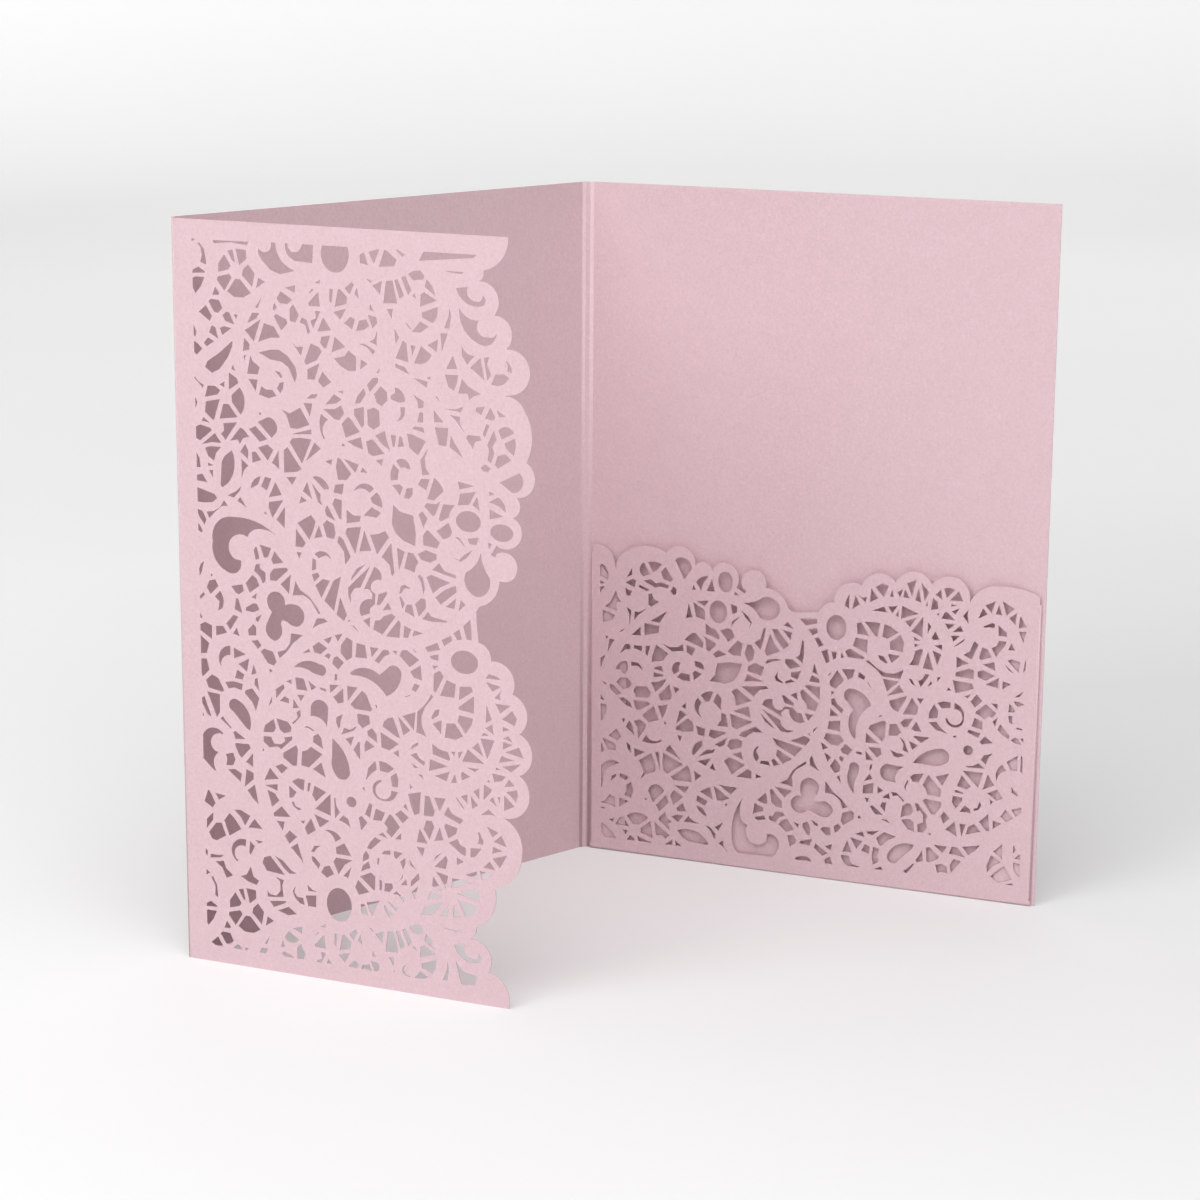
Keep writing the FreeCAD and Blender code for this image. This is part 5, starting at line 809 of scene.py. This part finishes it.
def area(points):
    return 0.5 * sum(points[i - 1][0] * p[1] - p[0] * points[i - 1][1]
                     for i, p in enumerate(points))


def inside(points, low_x, low_y, high_x, high_y):
    """An outline clipped to a frame, or None where only a sliver of it is left."""
    whole = points
    for axis, limit, above in ((0, low_x, True), (1, low_y, True),
                               (0, high_x, False), (1, high_y, False)):
        points = cut(points, axis, limit, above)
        if len(points) < 3:
            return None
    return points if points == whole or abs(area(points)) > SLIVER else None


def lace_holes(*window):
    """The cut-outs of the lace, the top band again at the foot, clipped to a window."""
    band = outlines(TOP_BAND)
    again = [[(x - REPEAT_SHIFT - REPEAT_CLOSE * x / DRAWN_WIDTH,
               y - REPEAT - REPEAT_TILT * x / DRAWN_WIDTH) for x, y in points] for points in band]
    rest = [points for block in LACE for points in outlines(block)]
    whole = band + again + rest + [oval(*o) for o in OVALS]
    clipped = [inside(points, *window) for points in whole]
    return [points for points in clipped if points]


# --- the sheet as one mesh ---
FLAT, ROUND, CUT_EDGE = 0, 1, 2
CREASE_STEPS, HEM_STEPS, SCORE_STEPS = 6, 10, 5
SCORE, BEAD = 0.45, 0.05         # a crease's bead: width to each side, and height


class Sheet:
    """Gathers the card's faces along a walk over its inside face. The walk's frame
    has x forward along the card, y along the crease and z through to the outside."""

    def __init__(self, mesh, place):
        self.mesh = mesh
        self.place = place
        self.bow = lambda *point: Vector(point)

    def branch(self):
        return Sheet(self.mesh, self.place.copy())

    def step(self, x=0.0, y=0.0, z=0.0):
        self.place = self.place @ Matrix.Translation((x, y, z))

    def turn(self, degrees, axis):
        self.place = self.place @ Matrix.Rotation(math.radians(degrees), 4, axis)

    def face(self, corners, look):
        verts = [self.mesh.verts.new(self.place @ self.bow(*c) * MM) for c in corners]
        face = self.mesh.faces.new(verts)
        face.material_index = int(look == CUT_EDGE)
        face.smooth = look == ROUND

    def plate(self, outer, holes=()):
        """A flat stretch of card: both faces, and the cut edges all round."""
        loops = [loop if area(loop) > 0 else loop[::-1] for loop in (outer, *holes)]
        points = [Vector(p) for loop in loops for p in loop]
        numbers = iter(range(len(points)))
        fields = [[next(numbers) for _ in loop] for loop in loops]
        flat, _, faces, _, _, origin = delaunay_2d_cdt(points, [], fields, 1, 0.1 * TINY)
        for triangle, within in zip(faces, origin):
            if within != [0]:
                continue
            corners = [flat[i] for i in triangle]
            self.face([(p.x, p.y, CARD) for p in corners], FLAT)
            self.face([(p.x, p.y, 0) for p in reversed(corners)], FLAT)
        for number, loop in enumerate(loops):
            for i, b in enumerate(loop):
                a = loop[i - 1]
                wall = [(*a, 0), (*b, 0), (*b, CARD), (*a, CARD)]
                self.face(wall[::-1] if number else wall, CUT_EDGE)

    def strip(self, width, section, outside):
        """A narrow stretch of card. Its section is four (x, z) corners, from the inside
        face's first round by the outside face to the inside face's last."""
        for side in (0.0, width):
            end = [(x, side, z) for x, z in section]
            self.face(end if side else end[::-1], CUT_EDGE)
        for i, look in ((1, outside), (3, ROUND)):
            (x0, z0), (x1, z1) = section[i], section[(i + 1) % 4]
            self.face([(x0, 0, z0), (x1, 0, z1), (x1, width, z1), (x0, width, z0)], look)

    def bend(self, width, radius, degrees, steps, bead=0.0):
        """Folds the card towards its inside face."""
        self.step(z=-radius)
        inner, outer = radius - bead, radius + CARD
        part = degrees / steps
        sine, cosine = math.sin(math.radians(part)), math.cos(math.radians(part))
        for _ in range(steps):
            self.strip(width, [(0, inner), (0, outer), (outer * sine, outer * cosine),
                               (inner * sine, inner * cosine)], ROUND)
            self.turn(part, "Y")
        self.step(z=radius)

    def score(self, width, rises):
        """The stretch beside a crease, where the inside face rises to its bead, or falls."""
        for i in range(SCORE_STEPS):
            shares = [k / SCORE_STEPS for k in (i, i + 1)]
            (x0, z0), (x1, z1) = [
                (SCORE * t, -BEAD * math.sin(0.5 * math.pi * (t if rises else 1.0 - t)) ** 2)
                for t in shares]
            self.strip(width, [(x0, z0), (x0, CARD), (x1, CARD), (x1, z1)], FLAT)
        self.step(SCORE)

    def crease(self, degrees):
        """An upright crease: scored from outside, which leaves a low bead inside."""
        self.score(HEIGHT, True)
        self.bend(HEIGHT, BEND, degrees, CREASE_STEPS, BEAD)
        self.score(HEIGHT, False)


def crease_allowance(degrees):
    """From the corner where two panels would meet to where the crease starts."""
    return (BEND + 0.5 * CARD) * math.tan(math.radians(degrees) / 2.0) + SCORE


RIGHT_CUT = crease_allowance(RIGHT_CREASE)
LEFT_CUT = crease_allowance(LEFT_CREASE)
POCKET_BEND = TAB_BEND + 0.5 * (CARD + GLUE)
POCKET_FOLD = POCKET_BEND + CARD
POCKET_WIDTH = POCKET_PANEL - POCKET_START - POCKET_END
TAB_FOLD = TAB_BEND + CARD
BOW, BOW_HEIGHT = 1.3, 60.0      # how far the pocket front bows, and how high it is by then
BOW_UP, BOW_BACK = 0.21, 0.42    # what bows out also moves by these shares of it
MERGE = 0.002                    # corners nearer to each other than this are one


def pocket_panel_outline():
    low, high = POCKET_START - RELIEF, POCKET_START + POCKET_WIDTH + RELIEF
    end = POCKET_PANEL - RIGHT_CUT
    return [(0, 0), (low, 0), (low, POCKET_FOLD), (POCKET_START, POCKET_FOLD),
            (POCKET_START + POCKET_WIDTH, POCKET_FOLD), (high, POCKET_FOLD),
            (high, 0), (end, 0), (end, HEIGHT), (0, HEIGHT)]


def flap_plate():
    """The flap's outline and cut-outs, along from where its crease ends."""
    holes = lace_holes(BORDER_FOLD, BORDER_BOTTOM, 2.0 * FLAP, HEIGHT - BORDER_TOP)
    edge, *holes = [[(x - LEFT_CUT, y) for x, y in points] for points in (outline(EDGE), *holes)]
    return [(0, HEIGHT), (0, 0)] + edge, holes


def with_corners(loop, extra):
    """The outline with more corners on the straight sides that they lie on."""
    for p in extra:
        for i, b in enumerate(loop):
            a = loop[i - 1]
            if abs(math.dist(a, p) + math.dist(p, b) - math.dist(a, b)) < TINY:
                loop.insert(i, p)
                break
    return loop


def on_pocket(x, y):
    """A point of the drawing on the pocket front: up from the fold, and along."""
    across, along = x - LACE_MIDDLE[0], y - LACE_MIDDLE[1]
    fade = max(0.0, math.cos(0.5 * math.pi * (along - CLOSE_AT) / CLOSE_REACH))
    close = LACE_CLOSE * max(across, 0.0) ** 2 * fade
    return (POCKET_MIDDLE[0] + across - LACE_LEAN * along - close,
            POCKET_MIDDLE[1] + LACE_NARROW * along + LACE_LEAN * across - close)


def pocket_front():
    """The pierced front's outline and cut-outs, and the heights of its two sides."""
    low, high = TAB_FOLD, POCKET_WIDTH - TAB_FOLD
    edge = outline(POCKET_SCALLOP)
    edge += [p for p in outline(EDGE) if p[1] > edge[-1][1] + SCALLOP_END]
    blank = [(0.0, -POCKET_WIDTH)] + [on_pocket(*p) for p in edge] + [(0.0, 2.0 * POCKET_WIDTH)]
    blank = cut(cut(blank, 1, low, True), 1, high, False)
    sides = [max(p[0] for p in blank if abs(p[1] - q) < TINY) for q in (low, high)]
    blank = [(SHOULDER, high), (SHOULDER, POCKET_WIDTH), (0.0, POCKET_WIDTH),
             (0.0, 0.0), (SHOULDER, 0.0), (SHOULDER, low)] + blank[2:]
    blank = with_corners(blank, [(foot, q) for height, q in zip(sides, (low, high))
                                 for foot in (TAB_FOOT, TAB_FOOT + tab_length(height))])
    bottom, start, stop = POCKET_WINDOW
    holes = [[on_pocket(*p) for p in points]
             for points in lace_holes(bottom, start, 2.0 * DRAWN_WIDTH, stop)]
    return blank, holes, sides


def bowed(x, y, z):
    """The pocket front between its glued sides: it bows off the panel, more by its
    open top. What lies nearer is seen to its left and lower, so it moves back."""
    rise = min(x / BOW_HEIGHT, 1.0)
    along = min(max((y - TAB_FOLD) / (POCKET_WIDTH - 2.0 * TAB_FOLD), 0.0), 1.0)
    bow = BOW * (1.0 - (2.0 * along - 1.0) ** 4) * rise * (2.0 - rise)
    return Vector((x + BOW_UP * bow, y - BOW_BACK * bow, z + bow))


def tab_length(height):
    return height - TAB_FOOT - TAB_DROP


def tab(front, height, far_side):
    side = front.branch()
    length = tab_length(height)
    if far_side:
        side.step(TAB_FOOT + length, POCKET_WIDTH - TAB_FOLD)
        side.turn(90, "Z")
        shape = [(0, 0), (TAB, TAB_TAPER), (TAB, length), (0, length)]
    else:
        side.step(TAB_FOOT, TAB_FOLD)
        side.turn(-90, "Z")
        shape = [(0, 0), (TAB, 0), (TAB, length - TAB_TAPER), (0, length)]
    side.bend(length, TAB_BEND, 180, HEM_STEPS)
    side.plate(shape)


def add(name, data):
    """A new object in the scene."""
    made = bpy.data.objects.new(name, data)
    bpy.context.scene.collection.objects.link(made)
    return made


def add_mesh(name, mesh):
    data = bpy.data.meshes.new(name)
    mesh.to_mesh(data)
    mesh.free()
    return add(name, data)


def right_and_back(points):
    return Vector((max(p.x for p in points), max(p.y for p in points), 0.0))


def card_sheet():
    mesh = bmesh.new()
    heading = Matrix.Rotation(math.radians(FIRST_PANEL_HEADING), 4, "Z")
    walk = Sheet(mesh, heading @ Matrix.Rotation(math.radians(90), 4, "X"))
    pocket = walk.branch()
    pocket.step(POCKET_START, POCKET_FOLD)
    pocket.turn(-90, "Z")
    pocket.bend(POCKET_WIDTH, POCKET_BEND, 180, HEM_STEPS)
    outer, holes, (near, far) = pocket_front()
    tab(pocket, near, False)
    tab(pocket, far, True)
    pocket.bow = bowed
    pocket.plate(outer, holes)
    walk.plate(pocket_panel_outline())
    walk.step(POCKET_PANEL - RIGHT_CUT)
    walk.crease(RIGHT_CREASE)
    for width, first, second in ((RIGHT_SPINE, RIGHT_CREASE, RIGHT_CREASE),
                                 (MIDDLE_PANEL, RIGHT_CREASE, LEFT_CREASE),
                                 (LEFT_SPINE, LEFT_CREASE, LEFT_CREASE)):
        length = width - crease_allowance(first) - crease_allowance(second)
        walk.plate([(0, 0), (length, 0), (length, HEIGHT), (0, HEIGHT)])
        walk.step(length)
        walk.crease(second)
    walk.plate(*flap_plate())
    bmesh.ops.remove_doubles(mesh, verts=mesh.verts, dist=MERGE * MM)
    # where one stretch runs on into the next, the wall between them goes
    walls = [face for face in mesh.faces
             if all(len(edge.link_faces) > 2 for edge in face.edges)]
    bmesh.ops.delete(mesh, geom=walls, context="FACES_ONLY")
    # its right and back sides stand where the CAD model's do
    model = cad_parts["folded_card"]
    here = right_and_back([vert.co for vert in mesh.verts])
    there = right_and_back([model.matrix_world @ vert.co for vert in model.data.vertices])
    bmesh.ops.translate(mesh, verts=mesh.verts, vec=there - here)
    return add_mesh("card_sheet", mesh)


# --- materials ---
CLOUDS, FIBRES, SPECKS = 220.0, 1500.0, 3200.0    # of the card's grain, in a metre
CLOUD_SHARE = 0.1                                 # the fibres have the rest
FELT_DEPTH = 0.04 * MM
# The backdrop's painted glow: metres from its middle, and tone.
GLOW_MIDDLE = (0.2, 0.1, 0.0)
GLOW = ((0.05, 0.14), (0.15, 0.09), (0.5, 0.23), (1.23, 0.34), (1.7, 0.39), (2.3, 0.70))


def empty_material(name):
    material = bpy.data.materials.new(name)
    material.use_nodes = True
    material.node_tree.nodes.clear()
    return material, material.node_tree


def node(tree, kind, inputs=(), **settings):
    """A new node: a socket among its inputs is linked, and anything else is set."""
    made = tree.nodes.new(kind)
    for key, value in settings.items():
        setattr(made, key, value)
    for key, value in dict(inputs).items():
        if isinstance(value, bpy.types.NodeSocket):
            tree.links.new(value, made.inputs[key])
        else:
            made.inputs[key].default_value = value
    return made


def maths(tree, operation, *values, clamp=False):
    return node(tree, "ShaderNodeMath", enumerate(values), operation=operation,
                use_clamp=clamp).outputs[0]


def ramp(tree, fac, stops):
    made = node(tree, "ShaderNodeValToRGB", {"Fac": fac})
    elements = made.color_ramp.elements
    while len(elements) < len(stops):
        elements.new(0.5)
    for element, (place, colour) in zip(elements, stops):
        element.position, element.color = place, (*colour, 1.0)
    return made.outputs["Color"]


def noise(tree, place, scale, detail, **more):
    inputs = {"Vector": place, "Scale": scale, "Detail": detail, **more}
    return node(tree, "ShaderNodeTexNoise", inputs).outputs["Fac"]


def pearl_card(name, deep, pale, roughness, sheen):
    """Pearl card: a fine felt of pressed fibres with mica specks that catch the light."""
    material, tree = empty_material(name)
    place = node(tree, "ShaderNodeTexCoord").outputs["Object"]
    cloud = noise(tree, place, CLOUDS, 2.0)
    fibre = noise(tree, place, FIBRES, 4.0, Roughness=0.75, Distortion=0.6)
    mica = node(tree, "ShaderNodeTexVoronoi",
                {"Vector": place, "Scale": SPECKS}).outputs["Distance"]
    mixed = maths(tree, "MULTIPLY", fibre, 1.0 - CLOUD_SHARE)
    mixed = maths(tree, "MULTIPLY_ADD", cloud, CLOUD_SHARE, mixed)
    colour = ramp(tree, mixed, [(0.34, deep), (0.66, pale)])
    rough = node(tree, "ShaderNodeMapRange",
                 {"Value": mica, "From Min": 0.08, "From Max": 0.7,
                  "To Min": roughness - 0.16, "To Max": roughness + 0.08}).outputs["Result"]
    bump = node(tree, "ShaderNodeBump", {"Strength": 0.35, "Distance": FELT_DEPTH,
                                         "Height": fibre}).outputs["Normal"]
    shader = node(tree, "ShaderNodeBsdfPrincipled",
                  {"Base Color": colour, "Roughness": rough, "Normal": bump,
                   "Specular IOR Level": 0.3, "Sheen Weight": sheen, "Sheen Roughness": 0.5})
    node(tree, "ShaderNodeOutputMaterial", {"Surface": shader.outputs[0]})
    return material


def studio_paper(name, deep, pale):
    """Pale paper that takes the card's shadow. Away from its middle it is seen brighter,
    by a painted glow that only camera rays and reflections see."""
    material, tree = empty_material(name)
    place = node(tree, "ShaderNodeTexCoord").outputs["Object"]
    grain = noise(tree, place, 3.0, 2.0)
    lit = node(tree, "ShaderNodeBsdfPrincipled",
               {"Base Color": ramp(tree, grain, [(0.3, deep), (0.7, pale)]),
                "Roughness": 0.9, "Specular IOR Level": 0.2}).outputs[0]
    # painted glow: brighter away from the middle, seen only by camera rays and reflections
    away = node(tree, "ShaderNodeVectorMath", {0: place, 1: GLOW_MIDDLE},
                operation="DISTANCE").outputs["Value"]
    reach = GLOW[-1][0]
    tone = ramp(tree, maths(tree, "DIVIDE", away, reach),
                [(far / reach, (t, t, t)) for far, t in GLOW])
    rays = node(tree, "ShaderNodeLightPath").outputs
    seen = maths(tree, "ADD", rays["Is Camera Ray"], rays["Is Glossy Ray"])
    seen = maths(tree, "ADD", seen, rays["Is Transmission Ray"], clamp=True)
    glowing = node(tree, "ShaderNodeEmission", {"Color": tone, "Strength": seen}).outputs[0]
    both = node(tree, "ShaderNodeAddShader", {0: lit, 1: glowing}).outputs[0]
    node(tree, "ShaderNodeOutputMaterial", {"Surface": both})
    return material


# --- the camera, floor and lights ---
def camera(place, pitch, roll, lens, shift):
    data = bpy.data.cameras.new("camera")
    data.lens = lens
    data.shift_x, data.shift_y = shift
    made = add("camera", data)
    made.matrix_world = (Matrix.Translation(Vector(place) * MM)
                         @ Matrix.Rotation(math.radians(90.0 - pitch), 4, "X")
                         @ Matrix.Rotation(math.radians(roll), 4, "Z"))
    bpy.context.scene.camera = made


def backdrop(material):
    """A floor that curves up into a wall well behind the card."""
    mesh = bmesh.new()
    reach, front, back, radius, top, steps = 5.0, -6.0, 1.6, 0.8, 3.5, 16
    profile = [(front, 0.0)]
    for i in range(steps + 1):
        t = math.radians(90.0 * i / steps)
        profile.append((back + radius * math.sin(t), radius - radius * math.cos(t)))
    profile.append((back + radius, top))
    rows = [[mesh.verts.new((x, y, z)) for x in (-reach, reach)] for y, z in profile]
    for a, b in zip(rows, rows[1:]):
        mesh.faces.new((a[0], a[1], b[1], b[0])).smooth = True
    made = add_mesh("backdrop", mesh)
    made.data.materials.append(material)


def area_light(name, place, size, power):
    """A square lamp aimed at the middle of the card."""
    data = bpy.data.lights.new(name, "AREA")
    data.size, data.energy = size, power
    made = add(name, data)
    made.location = place
    aim = Vector((0.0, 0.0, 0.09)) - Vector(place)
    made.rotation_euler = aim.to_track_quat("-Z", "Y").to_euler()


def soft_world(strength, seen):
    """A weak light from all round, seen beyond the floor as pale as the backdrop."""
    world = bpy.data.worlds.new("studio")
    world.use_nodes = True
    tree = world.node_tree
    rays = node(tree, "ShaderNodeLightPath").outputs
    level = node(tree, "ShaderNodeMapRange", {"Value": rays["Is Camera Ray"],
                                              "To Min": strength, "To Max": seen})
    tree.links.new(level.outputs["Result"], tree.nodes["Background"].inputs["Strength"])
    tree.nodes["Background"].inputs["Color"].default_value = (1.0, 1.0, 1.0, 1.0)
    bpy.context.scene.world = world


# --- putting it together ---
camera(place=(-6.15, -781.05, 268.4), pitch=13.25, roll=0.4, lens=95.13,
       shift=(-0.00058, 0.00508))

face_material = pearl_card("pearl_card", (0.658, 0.468, 0.502), (0.762, 0.558, 0.608), 0.5, 0.1)
# The cut edges are darker and pinker than the faces: partly the laser's scorch, partly painted shade that
# darkens the lace's windows.
edge_scorch_and_shade_material = pearl_card("cut_edge_scorch_and_shade", (0.64, 0.43, 0.46), (0.74, 0.54, 0.57), 0.8, 0.0)
sheet = card_sheet()
sheet.data.materials.append(face_material)
sheet.data.materials.append(edge_scorch_and_shade_material)
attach(sheet, "root")
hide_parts("folded_card")

glue_material = pearl_card("dried_glue", (0.55, 0.50, 0.44), (0.74, 0.70, 0.62), 0.5, 0.0)
for name in ("right_glue_strip", "left_glue_strip"):
    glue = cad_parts[name]
    glue.data.materials.clear()
    glue.data.materials.append(glue_material)

backdrop(studio_paper("studio_paper", (0.69,) * 3, (0.71,) * 3))
area_light("above_front", (0.0, -0.9, 1.8), 1.6, 23.5)
area_light("front_left", (-1.1, -0.9, 1.0), 1.0, 11.8)
area_light("front_right", (0.9, -1.2, 0.9), 1.0, 2.5)
area_light("front", (0.0, -1.7, 0.8), 1.2, 2.6)
area_light("behind", (0.3, 1.3, 1.2), 1.4, 4.5)
soft_world(0.25, 0.93)

bpy.context.scene.view_settings.view_transform = "Standard"
bpy.context.view_layer.update()
